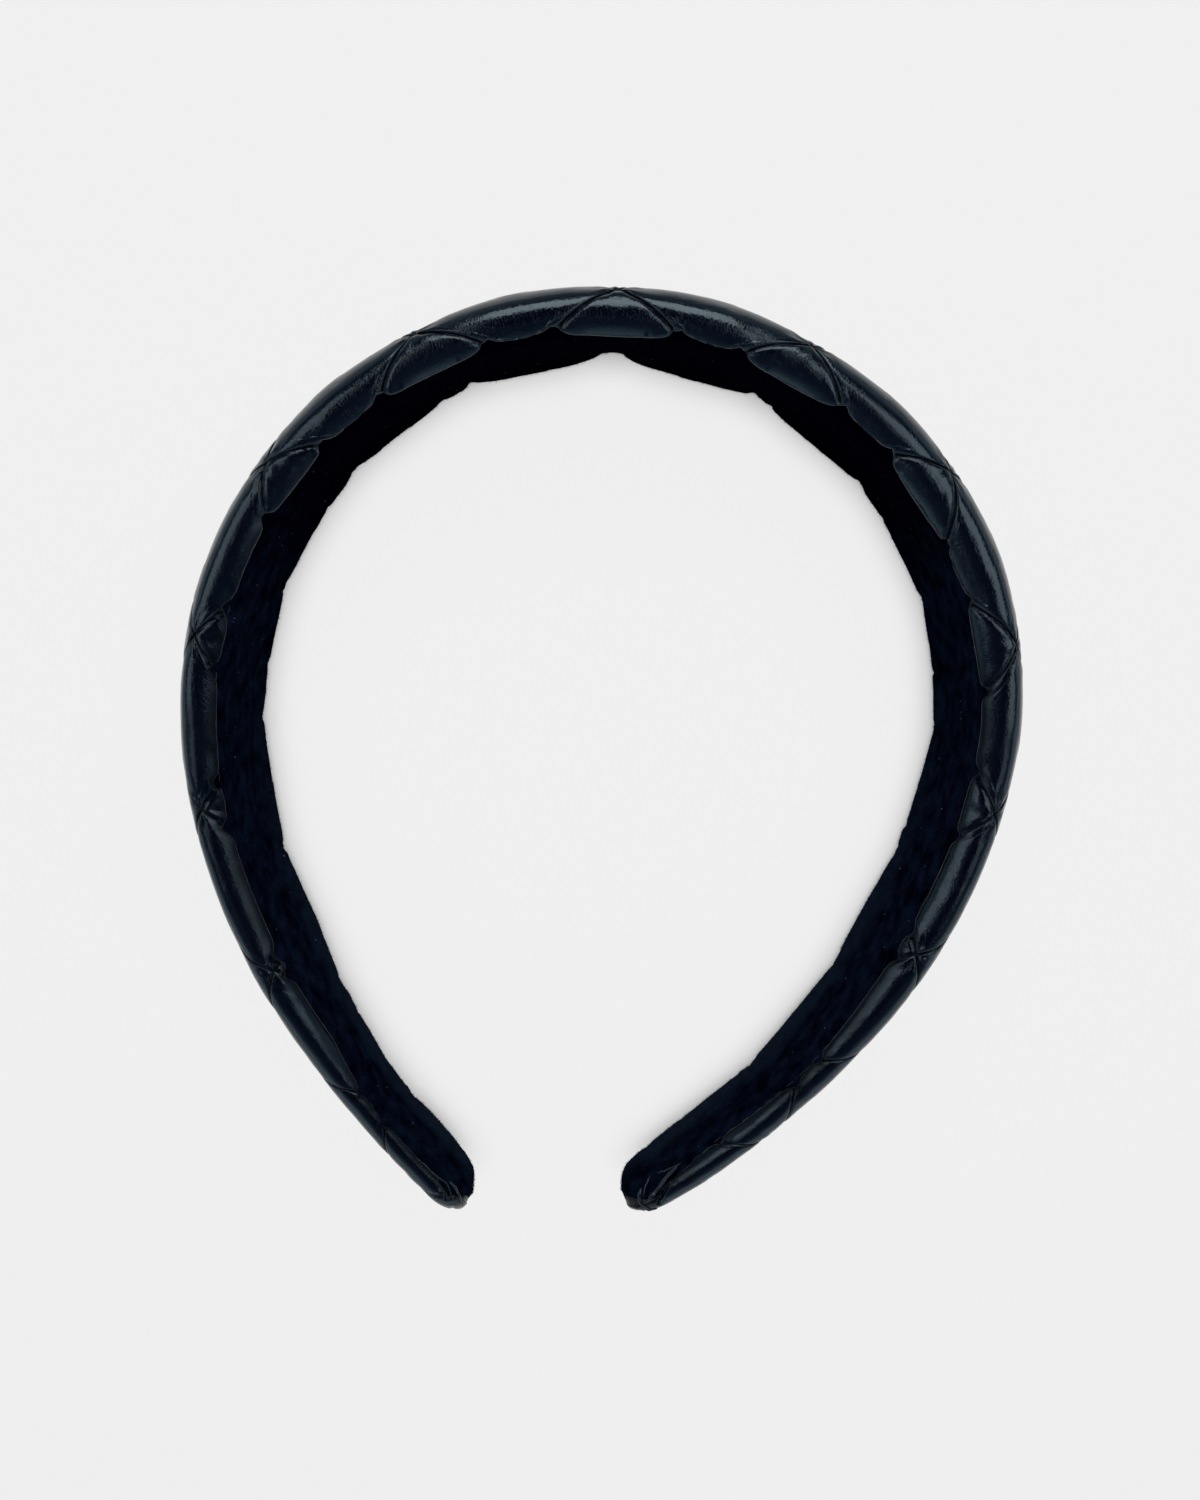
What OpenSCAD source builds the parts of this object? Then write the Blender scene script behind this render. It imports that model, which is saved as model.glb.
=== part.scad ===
// A padded hair band: a diamond-quilted leatherette cover over a tapered, curved body,
// with a velvet lining let into its inner side. It lies on one side edge, as it would
// on a table, with the crown towards +Y and the two open tips towards -Y.

/* [Band] */
// Width of the band at the crown
crown_w = 38.6; // [36:0.2:41]
// Thickness at the rims at the crown, from the top of a puff to the lining
crown_t = 7; // [6.4:0.1:8]
// Extra height of the padding along the middle of the outer face
dome_h = 1.6; // [0:0.1:2.6]
// Reach of the rounded rims across the band
rim_r = 3.1; // [2.6:0.1:3.6]
// Length of each rounded tip
tip_len = 9; // [8:0.5:10]

/* [Quilting] */
// Length of a diamond along the band
diamond_len = 31.2; // [30.4:0.1:31.6]
// Width of a diamond across the band
diamond_wide = 22; // [20:0.5:23]
// Height of a puff above the seams round it
puff_h = 1.3; // [0.6:0.1:1.6]
// Distance from the middle of the outer face to the row of seam crossings above it, at the crown
row_shift = 5.6; // [4.6:0.1:6]
// How much nearer to the middle that row runs along the arms
row_drift = 1.9; // [0:0.1:3]

/* [Lining] */
// Thickness of the velvet lining with its backing
lining_t = 0.9; // [0.6:0.1:1.2]
// How far the lining stands proud of the seams beside it
lining_proud = 0.25; // [0.1:0.05:0.5]
// Gap between neighbouring pieces
gap = 0.15; // [0.12:0.01:0.2]

/* [Tips] */
// Thickness of the leatherette tab tucked in at each tip
tuck_t = 0.8; // [0.5:0.1:1]
// Length of the tucked tab
tuck_len = 8; // [6:0.5:9]

/* [Lie] */
// Rise of the crown end off the table, in degrees
lie_tilt = 3.6; // [2.6:0.1:4.6]
// Lean towards the right arm, in degrees
lie_roll = -0.2; // [-1:0.1:1]

/* [Hidden] */
LEATHER = [0.06, 0.07, 0.09];
LEATHER_EDGE = [0.16, 0.17, 0.19];
VELVET = [0.03, 0.03, 0.07];

// The band's shape along its outer line, from the left tip to the right tip.
// Columns: distance from the crown seam crossing, radius of the bend,
// share of the crown's width, share of the crown's thickness.
BAND = [
    [-220, 158, 0.40, 0.80],
    [-190, 168, 0.47, 0.89],
    [-160, 165, 0.60, 0.96],
    [-125,  92, 0.71, 1.00],
    [ -90,  72, 0.83, 1.02],
    [ -55,  72, 0.92, 1.02],
    [ -20,  70, 0.99, 1.00],
    [  15,  69, 1.00, 1.00],
    [  50,  75, 0.95, 1.02],
    [  85,  64, 0.86, 1.02],
    [ 120,  79, 0.75, 1.00],
    [ 155, 140, 0.67, 0.97],
    [ 190, 141, 0.52, 0.90],
    [ 230, 132, 0.40, 0.79]
];
BEND = [for (row = BAND) [row[0], 1 / row[1]]];
WIDTH = [for (row = BAND) [row[0], row[2] * crown_w]];
THICK = [for (row = BAND) [row[0], row[3] * crown_t]];
// Direction of the outer line at the left tip, anticlockwise from +X
tip_heading = 134.5;

// Rings follow the quilting: steps to a diamond, and the steps where the rounded tips start
STEPS = 10;
LEFT_STEP = -68;
RIGHT_STEP = 71;
// Rounding of a tip seen from the side, in degrees from full width to the end
TIP_TURNS = [20, 37, 52, 64, 74, 82];
// Length over which a tip also thins towards its end
thin_len = 2.8;
// Points across the cover below and above that row of crossings
DOWN = 14;
UP = 9;
// Distance from the crown over which the row comes nearer to the middle
drift_len = 125;
// The cover turns this far round each rim before it goes under the lining
rim_turn = 150;
// Share of a puff's height that is left where the cover meets the lining
edge_puff = 0.75;
// Roundness of a puff: 1 is a cosine hill, less is fuller with sharper seams
puff_power = 0.6;
// Corner taken off the lining's edges
lining_bevel = 0.3;
// The lining ends this far before the end of the cover, and a tucked tab this far
lining_short = 1.6;
tuck_short = 0.6;
// Middle and half width of a tucked tab, as shares of the cover's reach across the rim
tuck_middle = 0.82;
tuck_spread = 0.15;
// Outline of a tucked tab: [share of its half width, share of its thickness]
TUCK_RING = [[1, 0], [0.35, 0], [-0.35, 0], [-1, 0], [-1, 0.5], [-0.5, 1], [0.5, 1], [1, 0.5]];
// Clearance that a tab's flat facets need over the rounded rim
tuck_clear = 0.1;

// Stations along the band: [distance, share of the width kept, share of the thickness kept]
function tip_share(x) = sqrt(max(0, 1 - pow(x / tip_len, 2)));
function thin_share(x) = sqrt(1 - 0.75 * pow(max(0, x - tip_len + thin_len) / thin_len, 2));
function tip_station(end, side, turn) =
    let (x = tip_len * sin(turn)) [end + side * x, tip_share(x), thin_share(x)];
step_len = diamond_len / STEPS;
STATIONS = concat(
    [for (i = [len(TIP_TURNS) - 1 : -1 : 0]) tip_station(LEFT_STEP * step_len, -1, TIP_TURNS[i])],
    [for (i = [LEFT_STEP : RIGHT_STEP]) [i * step_len, 1, 1]],
    [for (turn = TIP_TURNS) tip_station(RIGHT_STEP * step_len, 1, turn)]
);
LAST = len(STATIONS) - 1;

// Walk along the outer line, one chord between stations: [station, x, y, heading]
function walk_on(s) =
    let (here = STATIONS[s[0]][0], there = STATIONS[s[0] + 1][0],
         turn = (there - here) * lookup((here + there) / 2, BEND) * 180 / PI,
         chord = s[3] - turn / 2)
    [s[0] + 1, s[1] + (there - here) * cos(chord), s[2] + (there - here) * sin(chord), s[3] - turn];
WALK = [for (s = [0, 0, 0, tip_heading]; s[0] <= LAST; s = s[0] < LAST ? walk_on(s) : [LAST + 1]) s];

// Sizes of the cross-section at a station
function half_w(i) = lookup(STATIONS[i][0], WIDTH) / 2 * STATIONS[i][1];
function total_t(i) = lookup(STATIONS[i][0], THICK) * STATIONS[i][2];
function puff_at(i) = puff_h * STATIONS[i][1];
function rim_depth(i) = (total_t(i) - puff_at(i) - lining_proud) / 2;
function rim_side(i) = min(rim_r, 0.7 * half_w(i));
function flat_w(i) = half_w(i) - rim_side(i);
function rim_path(i) = (rim_side(i) + rim_depth(i)) / 2 + 0.3;
function cover_reach(i) = flat_w(i) + rim_path(i) * rim_turn * PI / 180;
function dome_at(i, b) = dome_h * STATIONS[i][1] * (half_w(i) * 2 / crown_w) * (1 - pow(b / half_w(i), 2));

// Quilting: height of the puffs at distance u along the band and v across it
function row_start(u) = row_shift - row_drift * min(1, abs(u) / drift_len);
function diagonal(u, v, way) = u / diamond_len + way * (v - row_start(u)) / diamond_wide;
function puff(u, v) =
    pow(abs(cos(180 * diagonal(u, v, 1)) * cos(180 * diagonal(u, v, -1))), puff_power);

// A point of the leatherette surface: [inward, across], v measured over the outer face and rim
function face_point(i, v) = [dome_at(i, v), v];
function face_normal(i, v) = [1, 2 * dome_h * STATIONS[i][1] * v / (half_w(i) * crown_w / 2)];
function rim_point(i, turn) =
    let (d = rim_depth(i), edge = turn < 90 ? dome_at(i, flat_w(i)) : 0)
    [(d + edge) * cos(turn) - d, flat_w(i) + rim_side(i) * sin(turn)];
function rim_normal(i, turn) = [cos(turn) / rim_depth(i), sin(turn) / rim_side(i)];
function leather(i, v, lift = 0) =
    let (u = STATIONS[i][0], a = abs(v), way = v < 0 ? -1 : 1,
         turn = (a - flat_w(i)) / rim_path(i) * 180 / PI,
         on_face = a <= flat_w(i),
         p = on_face ? face_point(i, a) : rim_point(i, turn),
         q = on_face ? face_normal(i, a) : rim_normal(i, turn),
         fade = min(1, edge_puff + (1 - edge_puff) * (cover_reach(i) - a) / 3),
         h = puff_at(i) * puff(u, v) * fade + lift,
         r = p + q / norm(q) * h)
    [r[0] - puff_at(i), way * r[1]];

// Places across the cover: on the quilting's own rows where they fit, drawn together
// beside the lining, and evenly spread where the tips round off
function on_rows(i, j) =
    let (reach = cover_reach(i), v = row_start(STATIONS[i][0]) + j * diamond_wide / STEPS,
         high = reach * (1 - 0.13 * (1 - j / UP)), low = -reach * (1 - 0.13 * (1 + j / DOWN)))
    max(low, min(high, v));
function spread(i, j) = cover_reach(i) * (2 * (j + DOWN) / (UP + DOWN) - 1);
function place(i, j) =
    let (mix = pow(1 - STATIONS[i][1], 0.5)) on_rows(i, j) * (1 - mix) + spread(i, j) * mix;

// Cross-sections as closed lists of [inward, across] points
function floor_n(i) = -total_t(i) + (STATIONS[i][1] < tip_share(tip_len - lining_short) ? 0.4 : 1)
    * (lining_t + gap);
function lining_half(i) = flat_w(i) + rim_side(i) * sin(rim_turn) - gap;
function cover_section(i) = concat(
    [for (j = [-DOWN : UP]) leather(i, place(i, j))],
    [[floor_n(i), lining_half(i) + gap], [floor_n(i), -lining_half(i) - gap]]
);
function lining_section(i) =
    let (face = -total_t(i), back = face + lining_t, b = lining_half(i), c = min(lining_bevel, b / 3))
    [[back, b], [face + c, b], [face, b - c], [face, c - b], [face + c, -b], [back, -b]];

// Lays a cross-section's points at its station, then tilts the band as it rests
function stand(i, p) =
    let (s = WALK[i], x = s[1] - p[0] * sin(s[3]), y = s[2] + p[0] * cos(s[3]), z = p[1],
         y2 = y * cos(lie_tilt) - z * sin(lie_tilt), z2 = y * sin(lie_tilt) + z * cos(lie_tilt))
    [x * cos(lie_roll) + z2 * sin(lie_roll), y2, z2 * cos(lie_roll) - x * sin(lie_roll)];
COVER = [for (i = [0 : LAST]) [for (p = cover_section(i)) stand(i, p)]];
function span(axis) =
    let (all = [for (ring = COVER) for (p = ring) p[axis]]) [min(all), max(all)];
// The origin is under the middle of the band's box, on the table
ORIGIN = [(span(0)[0] + span(0)[1]) / 2, (span(1)[0] + span(1)[1]) / 2, span(2)[0]];

// Closed skin over rings that each have the same number of points
function ring_faces(rings, points, turned) = concat(
    [for (i = [0 : rings - 2]) for (j = [0 : points - 1])
        let (a = i * points + j, b = i * points + (j + 1) % points, c = b + points, d = a + points)
        each turned[i][j] ? [[a, d, b], [b, d, c]] : [[a, c, b], [a, d, c]]],
    [[for (j = [0 : points - 1]) j]],
    [[for (j = [points - 1 : -1 : 0]) (rings - 1) * points + j]]
);
module skin(rings, turned) {
    points = [for (ring = rings) each ring];
    translate(-ORIGIN) polyhedron(points, ring_faces(len(rings), len(rings[0]), turned));
}

// Each four-sided patch is split along the diagonal that runs with its nearer seam
function seam_gap(n) = let (m = n - STEPS * floor(n / STEPS)) abs(m - STEPS / 2);
function patch_turned(i, j) =
    let (row = j - DOWN, col = round(STATIONS[i][0] / step_len))
    seam_gap(col + row + 1) < seam_gap(col - row);

module quilted_cover() {
    turned = [for (i = [0 : LAST - 1]) [for (j = [0 : UP + DOWN + 2]) patch_turned(i, j)]];
    color(LEATHER) skin(COVER, turned);
}

module velvet_lining() {
    kept = [for (i = [0 : LAST]) if (STATIONS[i][1] > tip_share(tip_len - lining_short)) i];
    rings = [for (i = kept) [for (p = lining_section(i)) stand(i, p)]];
    color(VELVET) skin(rings, [for (i = kept) [for (j = [0 : 5]) false]]);
}

// A tab of leatherette folded in over the upper rim beside the end of the lining.
// It is a low ridge, highest and widest at half its length.
module tip_tuck(end) {
    stations = near(end, tuck_short, tuck_short + tuck_len);
    last = len(stations) - 1;
    rings = [for (k = [0 : last])
        let (i = stations[k], rise = sqrt(sin(180 * (k + 0.5) / (last + 1))),
             mid = cover_reach(i) * tuck_middle, half = cover_reach(i) * tuck_spread * rise)
        [for (q = TUCK_RING)
            stand(i, leather(i, mid + q[0] * half, gap + tuck_clear + q[1] * tuck_t * rise))]];
    color(LEATHER_EDGE) skin(rings, [for (i = stations) [for (q = TUCK_RING) false]]);
}
function near(end, from, to) =
    [for (i = [0 : LAST]) let (x = abs(STATIONS[i][0] - STATIONS[end][0])) if (x > from && x < to) i];

module left_tip_tuck() {
    tip_tuck(0);
}

module right_tip_tuck() {
    tip_tuck(LAST);
}

quilted_cover();
velvet_lining();
left_tip_tuck();
right_tip_tuck();
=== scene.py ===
"""Looks of a padded hair band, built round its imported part.

A leatherette cover quilted in diamonds, the thread of its seams, a velvet lining with its pile
and the folds at the two open tips, lying on a pale floor in soft studio light.

The band's sizes are kept in millimetres, as the part's source has them. A place on the band is
given by u, the distance along its outer line from the seam crossing at the crown, and v, the
distance over the leatherette across the band, positive towards the upper edge. Points are turned
into metres in the frame of the part as they are made.
"""

import logging
import math
from dataclasses import dataclass, field
from enum import Enum

import bpy
import numpy as np
from mathutils import Matrix

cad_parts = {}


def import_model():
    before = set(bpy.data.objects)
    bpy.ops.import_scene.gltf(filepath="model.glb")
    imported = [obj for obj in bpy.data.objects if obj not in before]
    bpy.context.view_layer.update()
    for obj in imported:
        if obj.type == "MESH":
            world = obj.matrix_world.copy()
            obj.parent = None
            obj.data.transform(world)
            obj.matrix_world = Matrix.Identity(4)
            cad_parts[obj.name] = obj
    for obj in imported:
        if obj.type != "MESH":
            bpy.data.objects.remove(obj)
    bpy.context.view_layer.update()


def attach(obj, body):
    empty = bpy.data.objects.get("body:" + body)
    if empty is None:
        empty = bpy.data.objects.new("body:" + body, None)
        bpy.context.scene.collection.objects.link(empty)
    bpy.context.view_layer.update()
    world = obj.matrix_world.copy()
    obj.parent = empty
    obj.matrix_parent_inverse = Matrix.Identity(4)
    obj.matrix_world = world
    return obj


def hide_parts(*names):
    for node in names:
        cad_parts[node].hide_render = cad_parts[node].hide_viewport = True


LOG = logging.getLogger("hair_band")
MM = 0.001
Array = np.ndarray
Node, Socket = bpy.types.Node, bpy.types.NodeSocket
Object, Material = bpy.types.Object, bpy.types.Material
Colour = tuple[float, float, float, float]
Places = tuple[tuple[float, float], ...]


class Slot(Enum):
    """Names of material slots."""

    LEATHERETTE = "leatherette"
    VELVET = "velvet"
    FOLD = "leatherette_fold"


class Way(Enum):
    """The two families of seams: the way in which a seam climbs as it runs along the band."""

    FALLING = 1
    RISING = -1


class Tip(Enum):
    """The two open ends of the band, by the side on which they lie."""

    LEFT = "left"
    RIGHT = "right"


# --------------------------------------------------------------------------- shape of the band


@dataclass(frozen=True)
class BandSizes:
    """Driving sizes of the band in millimetres, degrees and shares, as the part's source has them.

    The seams' distance as a share of a diamond's length and the least size that a form may shrink
    to at the tips are the scene's own.
    """

    crown_w: float = 38.6
    crown_t: float = 7.0
    dome_h: float = 1.6
    rim_r: float = 3.1
    tip_len: float = 9.0
    diamond_len: float = 31.2
    diamond_wide: float = 22.0
    seam_share: float = 0.577
    puff_h: float = 1.3
    row_shift: float = 5.6
    row_drift: float = 1.9
    drift_len: float = 125.0
    lining_t: float = 0.9
    lining_proud: float = 0.25
    gap: float = 0.15
    lie_tilt: float = 3.6
    lie_roll: float = -0.2
    tip_heading: float = 134.5
    left_step: int = -68
    right_step: int = 71
    steps: int = 10
    tip_turn: float = 82.0
    rows_down: float = 1.4
    rows_up: float = 0.88
    steep_row: float = 0.5
    drawn: float = 0.06
    drawn_low: float = 0.13
    thin_len: float = 2.8
    thinning: float = 0.75
    rim_turn: float = 150.0
    rim_share: float = 0.7
    rim_extra: float = 0.3
    least: float = 0.05
    far_u: float = 220.0
    origin: tuple[float, float, float] = (27.1736, 84.3043, -10.0129)


# Columns: distance from the crown's crossing, bend radius, share of crown width and of thickness
BEND, WIDTH, THICKNESS = 1, 2, 3
BAND_TABLE = np.array([
    [-220, 158, 0.40, 0.80], [-190, 168, 0.47, 0.89], [-160, 165, 0.60, 0.96],
    [-125, 92, 0.71, 1.00], [-90, 72, 0.83, 1.02], [-55, 72, 0.92, 1.02],
    [-20, 70, 0.99, 1.00], [15, 69, 1.00, 1.00], [50, 75, 0.95, 1.02],
    [85, 64, 0.86, 1.02], [120, 79, 0.75, 1.00], [155, 140, 0.67, 0.97],
    [190, 141, 0.52, 0.90], [230, 132, 0.40, 0.79],
])


# How the sewn band differs from the even form, in millimetres along its inward direction.
# Columns: distance from the crown's crossing, how far the outer edge lies further in, how far the
# lower edge of the lining lies further out, the turn over the upper rim at which the leatherette
# ends (degrees), and how far the middle of that rim lies further out
OUTER_IN, LOWER_OUT, LIP_TURN, FULLER = 1, 2, 3, 4
SETTLE_TABLE = np.array([
    [-225, 0.40, 1.10, 92, 0.0], [-219, 0.45, 1.10, 106, 0.0], [-216, 0.50, 1.10, 120, 0.0],
    [-212, 0.60, 1.05, 124, 0.0], [-205, 0.70, 1.00, 118, 0.0], [-190, 0.65, 1.70, 117, 0.1],
    [-175, 0.60, 0.80, 145, 0.2], [-160, 0.25, 0.50, 140, 0.8], [-140, 0.55, 0.60, 136, 1.2],
    [-100, 0.65, 0.40, 134, 1.6], [-70, 0.35, 0.30, 134, 1.4], [-30, 0.15, 0.35, 136, 0.9],
    [15, 0.00, 0.30, 136, 0.8], [50, -0.10, 0.50, 135, 1.0], [72, -0.05, 0.70, 150, 1.3],
    [85, 0.10, 0.80, 149, 1.4], [107, 0.20, 1.20, 140, 1.4], [120, 0.20, 1.20, 146, 1.2],
    [140, 0.10, 0.60, 149, 1.0], [160, 0.10, 0.80, 142, 0.8], [172, 0.40, 1.00, 134, 0.4],
    [185, 0.55, 1.20, 124, 0.2], [205, 0.60, 0.90, 142, 0.0], [211, 0.55, 0.95, 131, 0.0],
    [217, 0.50, 1.00, 117, 0.0], [221, 0.45, 1.00, 112, 0.0], [224, 0.40, 1.05, 98, 0.0],
    [226, 0.40, 1.10, 86, 0.0], [230, 0.35, 1.10, 80, 0.0],
])


# How the seams drift as they were sewn, in millimetres.
# Columns: distance from the crown's crossing, how far the seams slide towards the crown, how much
# further from the middle the crossings lie, and how steeply seams meet the upper edge (a share)
SLIDE, SHIFT, STEEP = 1, 2, 3
DRIFT_TABLE = np.array([
    [-225, 3.0, 0.2, 0.70], [-192, 3.0, 0.3, 0.80], [-160, 1.5, 0.2, 1.20],
    [-127, -0.3, 1.2, 1.40], [-95, 0.0, 2.4, 1.50], [-63, 0.0, 2.5, 1.55],
    [-31, 0.2, 1.6, 1.30], [0, -0.8, 1.5, 1.25], [31, -1.0, 2.1, 1.40],
    [62, 0.5, 1.9, 1.35], [93, 1.0, 1.5, 1.40], [120, 2.0, 1.3, 1.50],
    [150, 4.0, 1.3, 1.20], [178, 4.8, 1.9, 0.80], [205, 6.5, 3.1, 0.70], [230, 7.0, 3.5, 0.70],
])


def look_up(table: Array, column: int, u: Array) -> Array:
    """Reads a column of a table at distances u along the band."""
    return np.interp(u, table[:, 0], table[:, column])


def fade(x: Array, reach: Array | float, power: float = 2) -> Array:
    """Falls smoothly from 1, where x is 0, to almost nothing beyond the reach."""
    return np.exp(-((x / reach) ** power))


def uneven(u: Array, v: Array, rising: tuple[float, float], falling: tuple[float, float],
           shift: float = 0.0) -> Array:
    """Low bumps in no order that the eye finds: one slanting wave times another.

    Args:
        u: distances along the band.
        v: distances across it.
        rising: how slowly the first wave turns along and across, in millimetres for a radian.
        falling: the same for the second wave, which slants the other way.
        shift: how far the second wave is ahead, in radians.

    Returns:
        Heights from -1 to 1.
    """
    first = np.sin(u / rising[0] + v / rising[1])
    return first * np.sin(u / falling[0] - v / falling[1] + shift)


@dataclass
class BandForm:
    """The band's surfaces as points, for any places along and across it."""

    sizes: BandSizes = field(default_factory=BandSizes)
    walk_step: float = 0.1
    probe: float = 0.3
    fuller_power: float = 1.4
    cusp_arms: float = 0.9
    cusp_crown: float = 2.4
    cusp_wide: float = 2.2
    cusp_reach: float = 9.0
    cusp_shift: float = 2.6
    cusp_turn: float = 0.6
    cusp_turn_len: float = 30.0
    cusp_len: float = 45.0
    cusp_near: float = 0.7
    cusp_far: float = 0.1
    cusp_both: float = 0.4
    cusp_both_len: float = 40.0
    lobe: float = 0.55
    lobe_reach: float = 75.0
    lobe_middle: float = 15.0
    notch: float = 0.8
    notch_wide: float = 0.75
    notch_power: float = 1.5
    seam_half: float = 26.0
    seam_points: int = 1041
    seam_rounds: int = 12
    seam_over: float = 5.0

    def __post_init__(self) -> None:
        """Walks along the outer line once."""
        s = self.sizes
        step = s.diamond_len / s.steps
        self.left_end, self.right_end = s.left_step * step, s.right_step * step
        start = self.left_end - s.tip_len * math.sin(math.radians(s.tip_turn))
        lead = s.tip_len
        us = np.arange(start - lead, self.right_end + 2 * lead, self.walk_step)
        bend = np.interp((us[1:] + us[:-1]) / 2, BAND_TABLE[:, 0], 1 / BAND_TABLE[:, BEND])
        turned = np.concatenate([[0], np.cumsum(self.walk_step * bend)])
        turned -= np.interp(start, us, turned)
        heading = math.radians(s.tip_heading) - turned
        chord = (heading[1:] + heading[:-1]) / 2
        xs = np.concatenate([[0], np.cumsum(self.walk_step * np.cos(chord))])
        ys = np.concatenate([[0], np.cumsum(self.walk_step * np.sin(chord))])
        self._walk = us, xs - np.interp(start, us, xs), ys - np.interp(start, us, ys), heading

    def past_end(self, u: Array) -> Array:
        """How far u lies into a rounded tip, and 0 on the rest of the band."""
        return np.maximum(0, np.maximum(self.left_end - u, u - self.right_end))

    def width_share(self, u: Array) -> Array:
        """Share of the width that a rounded tip keeps at u."""
        return np.sqrt(np.clip(1 - (self.past_end(u) / self.sizes.tip_len) ** 2, 0, 1))

    def thick_share(self, u: Array) -> Array:
        """Share of the thickness that a rounded tip keeps.

        Args:
            u: distances along the band.

        Returns:
            Shares up to 1.
        """
        s = self.sizes
        late = np.maximum(0, self.past_end(u) - s.tip_len + s.thin_len) / s.thin_len
        return np.sqrt(np.clip(1 - s.thinning * late**2, s.least, 1))

    def half_width(self, u: Array) -> Array:
        """Half the band's width at u."""
        return look_up(BAND_TABLE, WIDTH, u) * self.sizes.crown_w / 2 * self.width_share(u)

    def thickness(self, u: Array) -> Array:
        """Thickness at u, from the top of a puff to the lining's face."""
        return look_up(BAND_TABLE, THICKNESS, u) * self.sizes.crown_t * self.thick_share(u)

    def puff_height(self, u: Array) -> Array:
        """Height of the puffs at u."""
        return self.sizes.puff_h * self.width_share(u)

    def rim_depth(self, u: Array) -> Array:
        """Half the thickness of the rounded rim at u."""
        return (self.thickness(u) - self.puff_height(u) - self.sizes.lining_proud) / 2

    def rim_side(self, u: Array) -> Array:
        """Reach of the rounded rim across the band at u."""
        return np.minimum(self.sizes.rim_r, self.sizes.rim_share * self.half_width(u))

    def flat_width(self, u: Array) -> Array:
        """Half the width of the outer face, between the rims, at u."""
        return self.half_width(u) - self.rim_side(u)

    def rim_path(self, u: Array) -> Array:
        """Length over the rim for one radian of turning at u."""
        return (self.rim_side(u) + self.rim_depth(u)) / 2 + self.sizes.rim_extra

    def reach(self, u: Array) -> Array:
        """How far the cover runs from the middle of the outer face to the lining, at u."""
        return self.flat_width(u) + self.rim_path(u) * math.radians(self.sizes.rim_turn)

    def lip_turn(self, u: Array) -> Array:
        """Turn over the upper rim at which the leatherette ends at u, in radians."""
        return np.radians(look_up(SETTLE_TABLE, LIP_TURN, u))

    def lip_even(self, u: Array) -> Array:
        """How far the cover would run over the upper rim at u without lobes."""
        return self.flat_width(u) + self.rim_path(u) * self.lip_turn(u)

    def lip_place(self, u: Array) -> Array:
        """How far the cover runs over the upper rim: in lobes, with notches at the seams.

        Args:
            u: distances along the band.

        Returns:
            Distances from the middle of the outer face.
        """
        even = self.lip_even(u)
        lobe = self.lobe * fade(u - self.lobe_middle, self.lobe_reach)
        lobe = lobe * np.cos(np.pi * sum(self.phases(u, even)))
        near = np.minimum(*self.seam_gaps(u, even))
        notch = self.notch * fade(near, self.notch_wide, self.notch_power)
        return even + (lobe - notch) * self.width_share(u)

    def rows(self, u: Array, steps: int) -> Array:
        """Places across the cover: on the quilting's rows, and evenly spread at the tips.

        Args:
            u: distances along the band.
            steps: how many rows there are to a diamond.

        Returns:
            One row of places for each distance.
        """
        s = self.sizes
        down, up = round(steps * s.rows_down), round(steps * s.rows_up)
        j = np.arange(-down, up + 1)
        reach = self.reach(u)[:, None]
        side = np.broadcast_to(j / steps, (len(u), len(j)))
        over = (side - s.steep_row) / look_up(DRIFT_TABLE, STEEP, u)[:, None]
        side = np.where(over > 0, s.steep_row + over, side)
        v = self.row_start(u)[:, None] + side * s.diamond_wide
        high = self.lip_place(u)[:, None] * (1 - s.drawn * (1 - j / up))
        low = -reach * (1 - s.drawn_low * (1 + j / down))
        on_rows = np.clip(v, low, high)
        share = (j + down) / (up + down)
        spread = self.lip_place(u)[:, None] * share - reach * (1 - share)
        mix = np.sqrt(1 - self.width_share(u))[:, None]
        return on_rows * (1 - mix) + spread * mix

    def lining_half(self, u: Array) -> Array:
        """Half the width of the lining at u."""
        side = self.rim_side(u) * math.sin(math.radians(self.sizes.rim_turn))
        return np.maximum(self.flat_width(u) + side - self.sizes.gap, self.sizes.least)

    def slid(self, u: Array) -> Array:
        """Distance along the band as the seams count it."""
        return u + look_up(DRIFT_TABLE, SLIDE, u)

    def unslid(self, along: Array) -> Array:
        """Distance along the band where the seams' own count is `along`."""
        us = self._walk[0]
        return np.interp(along, self.slid(us), us)

    def row_start(self, u: Array) -> Array:
        """Distance at u from the middle to the row that the others are counted from."""
        drift = self.sizes.row_drift * np.minimum(1, np.abs(u) / self.sizes.drift_len)
        return self.sizes.row_shift - drift + look_up(DRIFT_TABLE, SHIFT, u)

    def phases(self, u: Array, v: Array) -> tuple[Array, Array]:
        """Places in the quilting.

        Args:
            u: distances along the band.
            v: distances across it.

        Returns:
            Two phases; a seam of one family runs wherever its phase is a whole number and a half.
        """
        s = self.sizes
        side = (v - self.row_start(u)) / s.diamond_wide
        over = (side - s.steep_row) * look_up(DRIFT_TABLE, STEEP, u)
        side = np.where(over > 0, s.steep_row + over, side)
        along = self.slid(u) / s.diamond_len
        return along + side, along - side

    def seam_gaps(self, u: Array, v: Array) -> Array:
        """Distances from places on the cover to the nearest seam of each family.

        Args:
            u: distances along the band.
            v: distances across it.

        Returns:
            Distances in millimetres, with the family on the first axis.
        """
        phases = np.stack(self.phases(u, v))
        apart = self.sizes.diamond_len * self.sizes.seam_share
        return np.abs(phases - np.floor(phases) - 0.5) * apart

    def dome(self, u: Array, b: Array) -> Array:
        """Extra height of the padding at u, b millimetres from the middle of the outer face."""
        s, half = self.sizes, np.maximum(self.half_width(u), 1e-3)
        return s.dome_h * self.width_share(u) * (half * 2 / s.crown_w) * (1 - (b / half) ** 2)

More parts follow.
